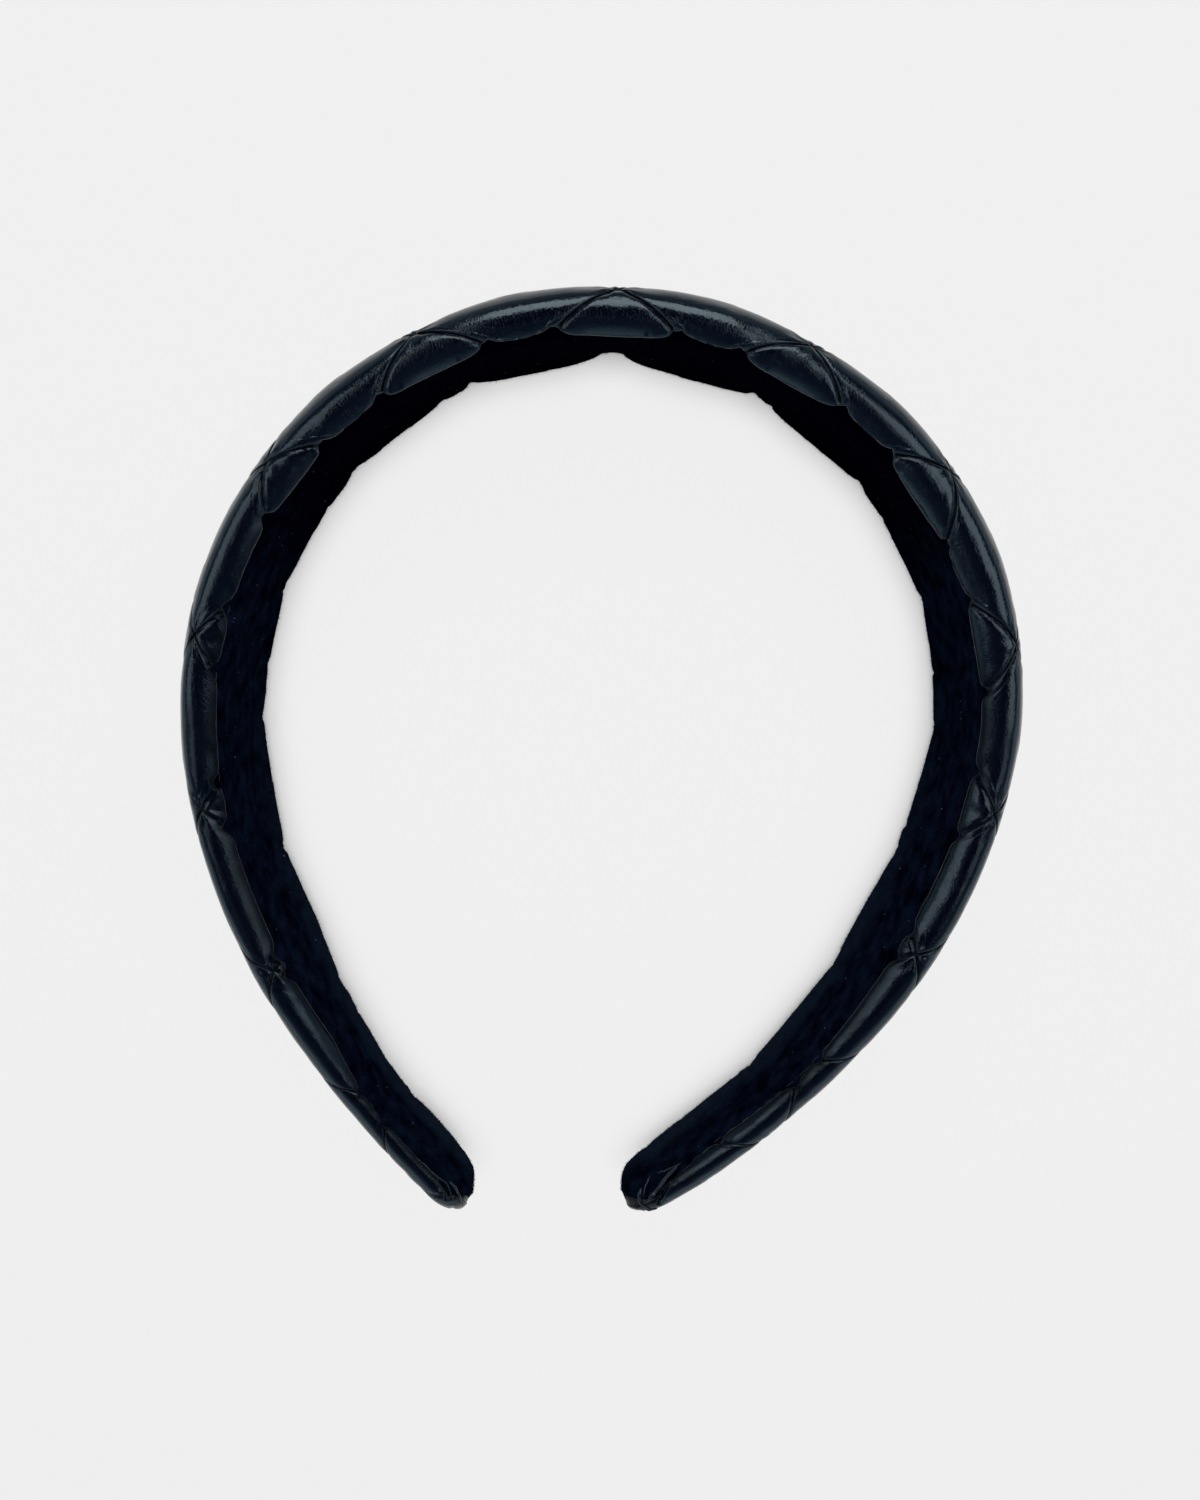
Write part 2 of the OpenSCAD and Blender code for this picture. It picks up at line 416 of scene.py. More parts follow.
    def section(self, u: Array, v: Array, rise: Array | float) -> tuple[Array, Array]:
        """Points of the leatherette in the plane across the band.

        Args:
            u: distances along the band.
            v: distances across it, over the leatherette.
            rise: height over the deepest seams.

        Returns:
            The points' distances towards the inside (negative) and across the band.
        """
        s = self.sizes
        u, v = np.broadcast_arrays(np.asarray(u, float), np.asarray(v, float))
        a, side = np.abs(v), np.where(v < 0, -1.0, 1.0)
        flat, depth, rim = self.flat_width(u), self.rim_depth(u), self.rim_side(u)
        turn = (a - flat) / self.rim_path(u)
        on_face, turn = turn <= 0, np.maximum(turn, 0)
        edge = np.where(turn < math.pi / 2, self.dome(u, flat), 0)
        n = np.where(on_face, self.dome(u, a), (depth + edge) * np.cos(turn) - depth)
        b = np.where(on_face, a, flat + rim * np.sin(turn))
        slope = 2 * s.dome_h * self.width_share(u) * a / (
            np.maximum(self.half_width(u), s.least) * s.crown_w / 2)
        qn = np.where(on_face, 1, np.cos(turn) / depth)
        qb = np.where(on_face, slope, np.sin(turn) / np.maximum(rim, s.least))
        size = np.hypot(qn, qb)
        return n + qn / size * rise - self.puff_height(u), side * (b + qb / size * rise)

    def cusp(self, u: Array) -> Array:
        """How far the seams draw the lower inner edge outwards.

        Args:
            u: distances along the band.

        Returns:
            Distances in millimetres.
        """
        turned = 1 - self.cusp_turn * np.clip(-u / self.cusp_turn_len, 0, 1)
        v = look_up(DRIFT_TABLE, SHIFT, u) - self.reach(u) - self.cusp_shift * turned
        gaps = self.seam_gaps(u, v)
        near, far = fade(np.where(u > 0, gaps, gaps[::-1]), self.cusp_wide, 1)
        both = fade(u, self.cusp_both_len)
        sharp = (self.cusp_near - self.cusp_both / 2 * both) * near
        sharp += (self.cusp_far + self.cusp_both * both) * far
        return sharp * (self.cusp_arms + self.cusp_crown * fade(u, self.cusp_len))

    def settle(self, u: Array, n: Array, b: Array) -> Array:
        """Moves points in or out, from the even form to the sewn one.

        Args:
            u: distances along the band.
            n: distances from the outer line, negative towards the inside.
            b: distances across the band.

        Returns:
            The new distances from the outer line.
        """
        outer, lower, fuller = (look_up(SETTLE_TABLE, column, u)
                                for column in (OUTER_IN, LOWER_OUT, FULLER))
        inner = np.clip(-n / self.thickness(u), 0, 1)
        half = np.maximum(self.half_width(u), 0.5)
        down = (1 - np.sin(np.clip(b / half, -1, 1) * np.pi / 2)) / 2
        moved = inner * lower * down - outer * (1 - inner)
        moved = moved + fuller * (1 - down) * np.sin(np.pi * inner**self.fuller_power)
        moved = moved + inner * self.cusp(u) * fade(b + half, self.cusp_reach)
        return n + moved * self.width_share(u)

    def place(self, u: Array, n: Array, b: Array) -> Array:
        """Puts points of cross-sections of the sewn band in the row frame, in metres."""
        return self.stand(u, self.settle(u, n, b), b)

    def stand(self, u: Array, n: Array, b: Array) -> Array:
        """Puts points of cross-sections in the row frame as they are.

        Args:
            u: distances along the band.
            n: distances from the outer line, negative towards the inside.
            b: distances across the band.

        Returns:
            Points in metres, with the coordinates on the last axis.
        """
        s = self.sizes
        us, xs, ys, headings = self._walk
        heading = np.interp(u, us, headings)
        x = np.interp(u, us, xs) - n * np.sin(heading)
        y = np.interp(u, us, ys) + n * np.cos(heading)
        tilt, roll = math.radians(s.lie_tilt), math.radians(s.lie_roll)
        y2 = y * math.cos(tilt) - b * math.sin(tilt)
        z2 = y * math.sin(tilt) + b * math.cos(tilt)
        laid = np.stack([
            x * math.cos(roll) + z2 * math.sin(roll), y2, z2 * math.cos(roll) - x * math.sin(roll),
        ], -1)
        return (laid - s.origin) * MM

    def leather(self, u: Array, v: Array, rise: Array | float) -> Array:
        """Points of the leatherette in the row frame, in metres."""
        u, v = np.broadcast_arrays(np.asarray(u, float), np.asarray(v, float))
        return self.place(u, *self.section(u, v, rise))

    def stand_on(self, u: Array, v: Array, rise: Array) -> tuple[Array, Array]:
        """Points on the leatherette and the way out of it there.

        Args:
            u: distances along the band.
            v: distances across it.
            rise: heights over the deepest seams.

        Returns:
            Points in metres, and unit vectors out of the leatherette.
        """
        points = self.leather(u, v, rise)
        out = self.leather(u, v, rise + self.probe) - points
        return points, out / np.linalg.norm(out, axis=-1, keepdims=True)

    def seam_line(self, way: Way, index: int, margin: float) -> tuple[Array, Array]:
        """Follows one seam over the cover.

        Args:
            way: the family that the seam belongs to.
            index: the seam's number in its family.
            margin: how far from the cover's edge the seam's thread stops.

        Returns:
            The places along and across the band, close together; empty off the band.
        """
        s = self.sizes
        v = np.linspace(-self.seam_half, self.seam_half, self.seam_points)
        u = np.full_like(v, s.diamond_len * (index + 0.5))
        for _ in range(self.seam_rounds):
            one, two = self.phases(u, v)
            side = way.value * (one - two) / 2
            u = self.unslid(s.diamond_len * (index + 0.5 - side))
        inside = self.past_end(u) < self.seam_over
        kept = inside & (v < self.lip_place(u) - margin) & (v > margin - self.reach(u))
        return u[kept], v[kept]


@dataclass(frozen=True)
class Crease:
    """A groove or ridge pressed into the leatherette along a short path of places (u, v)."""

    path: Places
    half_wide: float
    depth: float

    def distance(self, u: Array, v: Array) -> Array:
        """Distance from each place to the path.

        Args:
            u: distances along the band.
            v: distances across it.

        Returns:
            Distances in millimetres.
        """
        nearest = np.full(np.shape(u), 1e9)
        for (u0, v0), (u1, v1) in zip(self.path, self.path[1:]):
            du, dv = u1 - u0, v1 - v0
            share = np.clip(((u - u0) * du + (v - v0) * dv) / (du * du + dv * dv), 0, 1)
            nearest = np.minimum(nearest, np.hypot(u - u0 - share * du, v - v0 - share * dv))
        return nearest

    def height(self, u: Array, v: Array) -> Array:
        """Height that the crease adds, negative in a groove."""
        return -self.depth * fade(self.distance(u, v), self.half_wide, 4)


# Dark slots and pleats where the leatherette is folded in at the tips
TIP_CREASES = {
    Tip.LEFT: (
        Crease(((-211.2, 11.3), (-213.5, 10.7), (-215.4, 9.5)), 0.34, 1.5),
        Crease(((-217.5, 7.0), (-219.0, 4.0)), 0.3, 0.3),
    ),
    Tip.RIGHT: (
        Crease(((216.8, 12.0), (218.4, 11.4), (220.0, 10.4), (222.1, 9.2), (223.6, 7.8),
                (224.6, 6.4)), 0.3, 0.7),
        Crease(((221.5, 12.6), (223.2, 11.3), (224.3, 10.1)), 0.4, 1.2),
    ),
}


@dataclass(frozen=True)
class Roll:
    """A narrow rolled strip of leatherette along a path of places (u, v), in millimetres."""

    path: Places
    half_wide: float
    half_thick: float
    lift: float


# The cut edges and folded strips that stand up beside the velvet's ends
TIP_ROLLS = {
    Tip.LEFT: (
        Roll(((-204.5, 11.4), (-206.8, 11.5), (-208.7, 11.3), (-210.8, 11.4), (-212.7, 11.5),
              (-214.4, 10.6), (-215.0, 10.0)), 0.16, 0.16, 0.12),
        Roll(((-212.8, 12.0), (-215.1, 11.3), (-216.3, 10.2), (-217.3, 9.2), (-218.6, 7.6),
              (-219.9, 5.2)), 0.34, 0.24, 0.1),
    ),
    Tip.RIGHT: (
        Roll(((214.6, 13.0), (215.8, 12.9), (218.7, 13.2), (220.1, 13.3)), 0.16, 0.16, 0.1),
        Roll(((221.6, 13.4), (223.5, 11.7), (224.7, 10.1)), 0.16, 0.16, 0.1),
        Roll(((215.6, 12.8), (216.4, 12.6), (218.3, 12.1), (220.6, 11.2), (223.2, 10.3),
              (224.2, 9.4)), 0.42, 0.25, 0.12),
        Roll(((224.3, 11.6), (225.6, 9.9), (225.9, 8.5), (225.4, 7.5), (223.9, 7.0)),
             0.36, 0.3, 0.1),
    ),
}


@dataclass(frozen=True)
class LeatherRelief:
    """Small forms of the leatherette that the seams pull into it, in millimetres."""

    soft: tuple[float, float, float] = (0.8, 0.2, 0.3)
    sharp: tuple[float, float, float] = (0.45, 0.42, 0.42)
    full: tuple[float, float, float] = (0.3, 0.2, 0.2)
    places: tuple[float, float, float] = (-1.2, 0.4, 2.1)
    hill_power: float = 0.6
    arms_share: float = 0.6
    arms_start: float = 40.0
    arms_len: float = 80.0
    groove: float = 0.12
    groove_wide: float = 0.17
    pucker: float = 0.07
    pucker_reach: float = 2.4
    pucker_start: float = 0.6
    gather: float = 1.6
    gather_reach: float = 3.2
    waves: Places = ((5.3, 0.4), (3.1, 0.4), (1.9, 0.25))
    knot: float = 0.12
    knot_reach: float = 3.0
    knot_start: float = 0.8
    knot_folds: int = 9
    sag: float = 0.1
    low: float = 0.05
    low_waves: tuple = ((3.3, 2.1), (7.1, 4.7), 1.3)
    seam_unit: float = 19.0

    @staticmethod
    def _hash(number: Array, salt: float) -> Array:
        """A steady number from 0 to 1 for each seam or diamond."""
        value = np.sin(number * 12.9898 + salt * 78.233) * 43758.5453
        return value - np.floor(value)

    def _ripple(self, seam: Array, along: Array, salt: float) -> Array:
        """Waves along a seam, different for each seam.

        Args:
            seam: the seam's number.
            along: the distance along it in millimetres.
            salt: a number that sets this family of waves apart.

        Returns:
            Heights from about -1 to 1.
        """
        total = np.zeros(np.shape(along))
        for k, (length, share) in enumerate(self.waves):
            phase = 2 * np.pi * self._hash(seam, salt + 3.1 * k)
            total += share * np.sin(2 * np.pi * along / length + phase)
        return total

    def height(self, form: BandForm, u: Array, v: Array) -> Array:
        """Height of the leatherette over the deepest seams.

        Args:
            form: the band.
            u: distances along the band.
            v: distances across it.

        Returns:
            Heights in millimetres.
        """
        one, two = form.phases(u, v)
        d1, d2 = form.seam_gaps(u, v)
        turn = (np.abs(v) - form.flat_width(u)) / form.rim_path(u)
        soft, sharp, reach = (np.interp(turn, self.places, w)
                              for w in (self.soft, self.sharp, self.full))
        on_arm = np.clip((np.abs(u) - self.arms_start) / self.arms_len, 0, 1)
        arms = 1 - (1 - self.arms_share) * on_arm
        hill = np.abs(np.cos(np.pi * one) * np.cos(np.pi * two)) ** self.hill_power
        full = (1 - fade(d1, reach, 1)) * (1 - fade(d2, reach, 1))
        total = -arms * (soft * (1 - hill) + sharp * (1 - full))
        for d, other, seam, along, salt in ((d1, d2, np.floor(one), two, 1.7),
                                            (d2, d1, np.floor(two), one, 9.4)):
            near = fade(d, self.pucker_reach, 1) * (1 - fade(d, self.pucker_start, 1))
            strong = 1 + self.gather * fade(other, self.gather_reach, 1)
            ripple = self._ripple(seam, along * self.seam_unit, salt)
            total += self.pucker * near * strong * ripple
            total -= self.groove * fade(d, self.groove_wide)
        around = np.arctan2(d1, np.maximum(d2, 1e-6))
        crossing = np.floor(one + 0.5) * 7 + np.floor(two + 0.5) * 3
        close = np.hypot(d1, d2)
        ring = fade(close, self.knot_reach) * (1 - fade(close, self.knot_start, 1))
        start = 2 * np.pi * self._hash(crossing, 4.4)
        total += self.knot * ring * np.sin(around * self.knot_folds + start)
        cell = np.floor(one) * 5 + np.floor(two) * 11
        total += self.sag * full * (2 * self._hash(cell, 2.2) - 1)
        total += self.low * uneven(u, v, *self.low_waves) * full
        return form.puff_height(u) + total * np.sqrt(form.width_share(u))


# ------------------------------------------------------------------------------ mesh and nodes


def mesh_piece(name: str, points: Array, faces: Array, smooth: bool = True) -> Object:
    """Makes one mesh object from arrays, in the row frame.

    Args:
        name: the piece's name.
        points: points in metres, one a row.
        faces: point numbers, one face a row.
        smooth: whether the faces are shaded as one rounded surface.

    Returns:
        The new object, linked to the scene.
    """
    mesh = bpy.data.meshes.new(name)
    mesh.from_pydata(points.reshape(-1, 3).tolist(), [], faces.tolist())
    mesh.polygons.foreach_set("use_smooth", [smooth] * len(mesh.polygons))
    mesh.update()
    piece = bpy.data.objects.new(name, mesh)
    bpy.context.scene.collection.objects.link(piece)
    return piece


def mark_points(piece: Object, name: str, values: Array) -> None:
    """Stores one number at each point of a piece, for its material to read."""
    mark = piece.data.attributes.new(name, "FLOAT", "POINT")
    mark.data.foreach_set("value", np.asarray(values, np.float32).ravel())


def mark_places(piece: Object, u: Array, v: Array) -> None:
    """Stores each point's place on the band, in metres, for the grain.

    Args:
        piece: the object.
        u: distances along the band in millimetres.
        v: distances across it.
    """
    mark = piece.data.attributes.new("band_place", "FLOAT_VECTOR", "POINT")
    places = np.stack(np.broadcast_arrays(u, v, 0.0), -1) * MM
    mark.data.foreach_set("vector", places.astype(np.float32).ravel())


@dataclass(frozen=True)
class NapAndLight:
    """How much brushed colour the velvet shows, partly painted light, with places in metres."""

    crown_y: float = 0.066
    fade: float = 0.03
    least: float = 0.05
    low_z: float = 0.009
    # The lower-edge fields set a painted sheen at the arms' lower edge
    low_fade: float = 0.008
    low_sheen: float = 0.25
    low_y: float = 0.09

    def mark(self, piece: Object, points: Array) -> None:
        """Marks a piece: painted shade under the crown, 1 on the arms, a painted sheen at their
        lower edge.

        Args:
            piece: the object.
            points: its points in the row frame.
        """
        y, z = points[..., 1], points[..., 2]
        low = np.clip((self.low_z - z) / self.low_fade, 0, 1)
        arms = np.clip((self.crown_y - y) / self.fade, self.least, 1)
        mark_points(piece, "nap_and_light", arms + low * np.clip(self.low_sheen - y / self.low_y, 0, 1))


def keep_above(points: Array, height: float) -> None:
    """Lifts points that lie lower than a height in millimetres over the floor."""
    points[..., 2] = np.maximum(points[..., 2], height * MM)


def rods(form: BandForm, u: Array, v: Array, lift: Array, wide: Array, thick: Array,
         sides: int) -> tuple[Array, Array]:
    """Makes rounded rods that stand on the leatherette, one for each row of places.

    Args:
        form: the band.
        u: distances of the rods' middle lines along the band.
        v: their distances across it.
        lift: their heights over the deepest seams.
        wide: half widths along the surface in millimetres.
        thick: half thicknesses out of it in millimetres.
        sides: how many points go round each rod.

    Returns:
        Points and faces of all rods.
    """
    middle, up = form.stand_on(u, v, lift)
    along = np.gradient(middle, axis=1)
    along /= np.linalg.norm(along, axis=-1, keepdims=True)
    side = np.cross(along, up)
    angle = np.linspace(0, 2 * np.pi, sides, endpoint=False)[:, None]
    wide, thick = ((size * MM)[..., None, None] for size in (wide, thick))
    points = (middle[:, :, None, :] + wide * np.cos(angle) * side[:, :, None, :]
              + thick * np.sin(angle) * up[:, :, None, :])
    return points, repeated(ring_faces(middle.shape[1], sides), len(middle),
                            middle.shape[1] * sides)


def repeated(faces: Array, times: int, points: int) -> Array:
    """Repeats the faces of one small form for many like it.

    Args:
        faces: the form's triangles.
        times: how many forms there are.
        points: how many points each has.

    Returns:
        The triangles of all forms.
    """
    return (np.arange(times)[:, None, None] * points + faces[None]).reshape(-1, 3)


def dress(piece: Object, material: Material) -> None:
    """Gives a piece its material and its body.

    Args:
        piece: the object.
        material: what it is made of.
    """
    piece.data.materials.append(material)
    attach(piece, "root")


def ring_faces(rings: int, points: int, turned: Array | None = None) -> Array:
    """Faces of a closed skin over rings of points, with flat ends left to fans.

    Args:
        rings: how many rings.
        points: how many points each ring has.
        turned: for each ring but the last and each point, whether the patch is split the other
            way; None splits all the same way.

    Returns:
        Triangles as rows of three point numbers, facing outwards.
    """
    i, j = np.meshgrid(np.arange(rings - 1), np.arange(points), indexing="ij")
    a, b = i * points + j, i * points + (j + 1) % points
    c, d = b + points, a + points
    turned = np.zeros(a.shape, bool) if turned is None else turned
    plain = np.stack([np.stack([a, c, b], -1), np.stack([a, d, c], -1)], 2)
    other = np.stack([np.stack([a, d, b], -1), np.stack([b, d, c], -1)], 2)
    sides = np.where(turned[..., None, None], other, plain).reshape(-1, 3)
    k = np.arange(1, points - 1)
    first = np.stack([0 * k, k, k + 1], -1)
    last = (rings - 1) * points + np.stack([0 * k, k + 1, k], -1)
    return np.concatenate([sides, first, last])


class ShaderSheet:
    """A node tree with short calls to add nodes and join them."""

    def __init__(self, tree: bpy.types.NodeTree) -> None:
        """Starts on an emptied tree."""
        self.tree = tree
        tree.nodes.clear()

    def put(self, socket: Socket, value: object) -> None:
        """Joins an input to a node's output, or sets it to a plain value.

        Args:
            socket: the input.
            value: another node's socket or a value.
        """
        if isinstance(value, Socket):
            self.tree.links.new(value, socket)
        else:
            socket.default_value = value

    def add(self, kind: str, inputs: dict | None = None, **settings: object) -> Node:
        """Adds a node.

        Args:
            kind: the node's Blender type.
            inputs: input names or numbers, each with a value or a socket to join.
            **settings: the node's own settings.

        Returns:
            The node.
        """
        node = self.tree.nodes.new(kind)
        for name, value in settings.items():
            setattr(node, name, value)
        for name, value in (inputs or {}).items():
            self.put(node.inputs[name], value)
        return node

    def place(self) -> Socket:
        """Adds the place on the object, in metres, and returns its socket."""
        return self.add("ShaderNodeTexCoord").outputs["Object"]

    def mark(self, name: str, output: str = "Fac") -> Socket:
        """Reads one of the piece's marks and returns its socket."""
        return self.add("ShaderNodeAttribute", attribute_name=name).outputs[output]

    def noise(self, where: Socket, scale: Socket | float, detail: int,
              rough: float = 0.5) -> Node:
        """Adds soft noise.

        Args:
            where: the place's socket.
            scale: how many waves there are to a metre.
            detail: how many finer layers it has.
            rough: how strong the finer layers are.

        Returns:
            The noise's node.
        """
        return self.add("ShaderNodeTexNoise", {"Vector": where, "Scale": scale, "Detail": detail,
                                               "Roughness": rough})

    def bump(self, height: Socket, strength: float, distance: float) -> Socket:
        """Turns heights into a bump of a distance in millimetres and returns its normal."""
        return self.add("ShaderNodeBump", {"Height": height, "Strength": strength,
                                           "Distance": distance * MM}).outputs[0]

    def ramp(self, value: Socket, *stops: tuple[float, float]) -> Socket:
        """Maps a value through steps of grey.

        Args:
            value: the socket to map.
            *stops: pairs of place and grey level.

        Returns:
            The mapped value's socket.
        """
        node = self.add("ShaderNodeValToRGB", {"Fac": value})
        steps = node.color_ramp.elements
        while len(steps) < len(stops):
            steps.new(1.0)
        for step, (where, level) in zip(steps, stops):
            step.position, step.color = where, (level, level, level, 1)
        return node.outputs["Color"]

    def math(self, kind: str, *values: Socket | float, clamp: bool = False) -> Socket:
        """Joins values with one arithmetic step and returns its socket."""
        return self.add("ShaderNodeMath", dict(enumerate(values)), operation=kind,
                        use_clamp=clamp).outputs[0]

    def vector(self, kind: str, inputs: dict) -> Socket:
        """Joins vectors with one step and returns its socket."""
        return self.add("ShaderNodeVectorMath", inputs, operation=kind).outputs[0]

    def mix(self, share: Socket | float, one: object, two: object) -> Socket:
        """Mixes two colours by a share and returns the colour's socket."""
        return self.add("ShaderNodeMix", {0: share, 6: one, 7: two}, data_type="RGBA").outputs[2]


class EffectGroup:
    """An effect that several finishes share, as a shader node group that is built once."""

    NAME = ""
    INPUTS: tuple[tuple[str, float | tuple[float, ...]], ...] = ()
    OUTPUTS: tuple[str, ...] = ()

    def build(self, sheet: ShaderSheet, given: Node) -> tuple[Socket, ...]:
        """Lays the effect's nodes and returns what goes to its outputs; each has its own."""
        raise NotImplementedError

    def group(self) -> bpy.types.NodeTree:
        """Finds the group, which the first call builds.

        Returns:
            The group's node tree.
        """
        found = bpy.data.node_groups.get(self.NAME)
        if found is not None:
            return found
        tree = bpy.data.node_groups.new(self.NAME, "ShaderNodeTree")
        for name, value in self.INPUTS:
            kind = "NodeSocketFloat" if isinstance(value, float) else "NodeSocketVector"
            socket = tree.interface.new_socket(name, in_out="INPUT", socket_type=kind)
            socket.default_value = value
        for name in self.OUTPUTS:
            tree.interface.new_socket(name, in_out="OUTPUT", socket_type="NodeSocketFloat")
        sheet = ShaderSheet(tree)
        made = self.build(sheet, sheet.add("NodeGroupInput"))
        sheet.add("NodeGroupOutput", dict(zip(self.OUTPUTS, made)))
        return tree

    def use(self, sheet: ShaderSheet, **values: float | Socket) -> Node:
        """Places the effect in a material.

        Args:
            sheet: the material's nodes.
            **values: the effect's inputs, with underscores for spaces.

        Returns:
            The group's node, whose outputs the material reads.
        """
        inputs = {name.replace("_", " "): value for name, value in values.items()}
        return sheet.add("ShaderNodeGroup", inputs, node_tree=self.group())


class HideGrain(EffectGroup):
    """The printed grain of leatherette: uneven pebbles and fine wrinkles that run along it."""

    NAME = "hide_grain"
    INPUTS = (("Place", (0.0, 0.0, 0.0)), ("Pebbles per mm", 2.2), ("Unevenness", 0.5),
              ("Wrinkles", 0.8))
    OUTPUTS = ("Height", "Crease")
    BENDS, FINE, LONG = 900, 5200, 1700
    BENT_BY, FINE_SHARE, LONG_SHARE = 0.0006, 0.35, 3.0
    STRETCH = (0.28, 1.0, 1.0)
    PEBBLE = ((0.0, 0.0), (0.12, 0.7), (0.4, 1.0))

    def build(self, sheet: ShaderSheet, given: Node) -> tuple[Socket, ...]:
        """Wraps pebbles from cells, breaks them up with noise and lays long noise over them.

        Args:
            sheet: the group's nodes.
            given: the node whose outputs are the effect's inputs.

        Returns:
            The height, and how deep in a crease the place lies.
        """
        where = given.outputs["Place"]
        scale = sheet.math("MULTIPLY", given.outputs["Pebbles per mm"], 1 / MM)
        bend = sheet.noise(where, self.BENDS, 2)
        strength = sheet.math("MULTIPLY", given.outputs["Unevenness"], self.BENT_BY)
        shift = sheet.vector("SCALE", {0: bend.outputs["Color"], "Scale": strength})
        moved = sheet.vector("ADD", {0: where, 1: shift})
        cells = sheet.add("ShaderNodeTexVoronoi", {"Vector": moved, "Scale": scale},
                          feature="DISTANCE_TO_EDGE")
        pebble = sheet.ramp(cells.outputs["Distance"], *self.PEBBLE)
        fine = sheet.noise(where, self.FINE, 3)
        wrinkles = sheet.noise(sheet.vector("MULTIPLY", {0: moved, 1: self.STRETCH}), self.LONG, 2)
        height = sheet.math("MULTIPLY_ADD", fine.outputs["Fac"], self.FINE_SHARE, pebble)
        ridged = sheet.math("MULTIPLY", wrinkles.outputs["Fac"], given.outputs["Wrinkles"])
        total = sheet.math("MULTIPLY_ADD", ridged, self.LONG_SHARE, height)
        return total, sheet.math("SUBTRACT", 1.0, pebble)


class HandledPatches(EffectGroup):
    """Soft cloudy patches where a surface is duller or rubbed, from handling."""

    NAME = "handled_patches"
    INPUTS = (("Patches per mm", 0.12), ("Contrast", 1.0))
    OUTPUTS = ("Mask",)

    def build(self, sheet: ShaderSheet, given: Node) -> tuple[Socket, ...]:
        """Stretches large noise about its middle.

        Args:
            sheet: the group's nodes.
            given: the node whose outputs are the effect's inputs.

        Returns:
            How strong the patches are.
        """
        scale = sheet.math("MULTIPLY", given.outputs["Patches per mm"], 1 / MM)
        cloud = sheet.noise(sheet.place(), scale, 4)
        off = sheet.math("SUBTRACT", cloud.outputs["Fac"], 0.5)
        spread = sheet.math("MULTIPLY", off, given.outputs["Contrast"])
        return (sheet.math("ADD", spread, 0.5, clamp=True),)


class LintSpecks(EffectGroup):
    """Scattered pale specks of lint and dust."""

    NAME = "lint_specks"
    INPUTS = (("Specks per mm", 0.6), ("Share", 0.04))
    OUTPUTS = ("Mask",)
    LEAST, SPREAD = 0.05, 0.12

    def build(self, sheet: ShaderSheet, given: Node) -> tuple[Socket, ...]:
        """Keeps the middles of a few cells, chosen by each cell's own random colour.

        Args:
            sheet: the group's nodes.
            given: the node whose outputs are the effect's inputs.

        Returns:
            1 on a speck and 0 elsewhere.
        """
        scale = sheet.math("MULTIPLY", given.outputs["Specks per mm"], 1 / MM)
        cells = sheet.add("ShaderNodeTexVoronoi", {"Vector": sheet.place(), "Scale": scale})
        split = sheet.add("ShaderNodeSeparateColor", {0: cells.outputs["Color"]})
        chosen = sheet.math("LESS_THAN", split.outputs[0], given.outputs["Share"])
        size = sheet.math("MULTIPLY_ADD", split.outputs[1], self.SPREAD, self.LEAST)
        inside = sheet.math("LESS_THAN", cells.outputs["Distance"], size)
        return (sheet.math("MULTIPLY", chosen, inside),)


class Finish:
    """What a surface is made of; each finish lays its own shader."""

    name: str

    def shader(self, sheet: ShaderSheet) -> Node:
        """Lays the finish's nodes and returns the shader's node."""
        raise NotImplementedError

    def material(self) -> Material:
        """Builds the finish.

        Returns:
            A new material under the finish's name.
        """
        made = bpy.data.materials.new(self.name)
        made.use_nodes = True
        sheet = ShaderSheet(made.node_tree)
        shader = self.shader(sheet)
        sheet.add("ShaderNodeOutputMaterial", {"Surface": shader.outputs[0]})
        return made


@dataclass(frozen=True)
class Leatherette(Finish):
    """Black leatherette with a satin face, fine grain and painted shade in its stitched grooves.

    It reads the marks "seam", which paints shade, and "band_place" of its piece.
    """

    name: str = "leatherette"
    face: Colour = (0.0007, 0.0012, 0.0055, 1)
    # painted shade: the colour where the seam mark is high
    groove: Colour = (0.0003, 0.0006, 0.0016, 1)
    rubbed: Colour = (0.002, 0.0035, 0.009, 1)
    rubbed_share: float = 0.5
    crease_share: float = 0.25
    tint: Colour = (0.62, 0.86, 1.0, 1)
    # painted shade: the gloss tint where the seam mark is high
    sunk: Colour = (0.06, 0.1, 0.16, 1)
    gloss: float = 0.5
    shade_gloss: float = -0.3
    rough: float = 0.095
    rough_spread: float = 0.05
    shade_rough: float = 0.1
    grain_strength: float = 0.5
    grain_depth: float = 0.017

    def shader(self, sheet: ShaderSheet) -> Node:
        """Lays clouds and creases of colour, painted shade from the seam mark and a fine grain.

        Args:
            sheet: the material's nodes.

        Returns:
            The shader's node.
        """
        place = sheet.mark("band_place", "Vector")
        grain = HideGrain().use(sheet, Place=place, Pebbles_per_mm=2.6, Unevenness=0.6)
        cloud = HandledPatches().use(sheet, Patches_per_mm=0.16, Contrast=1.6).outputs["Mask"]
        # The seam mark paints shade: darker colour and duller, greyer gloss in the grooves, at the
        # arms' turned-in edge and at the tips
        seam = sheet.mark("seam")
        clouded = sheet.math("MULTIPLY", cloud, self.rubbed_share)
        dark = sheet.math("MULTIPLY_ADD", grain.outputs["Crease"], self.crease_share, seam)
        varied = sheet.math("MULTIPLY_ADD", cloud, self.rough_spread, self.rough)
        return sheet.add("ShaderNodeBsdfPrincipled", {
            "Base Color": sheet.mix(dark, sheet.mix(clouded, self.face, self.rubbed), self.groove),
            "Roughness": sheet.math("MULTIPLY_ADD", seam, self.shade_rough, varied),
            "Specular IOR Level": sheet.math("MULTIPLY_ADD", seam, self.shade_gloss, self.gloss),
            "Specular Tint": sheet.mix(seam, self.tint, self.sunk),
            "Normal": sheet.bump(grain.outputs["Height"], self.grain_strength, self.grain_depth),
        })


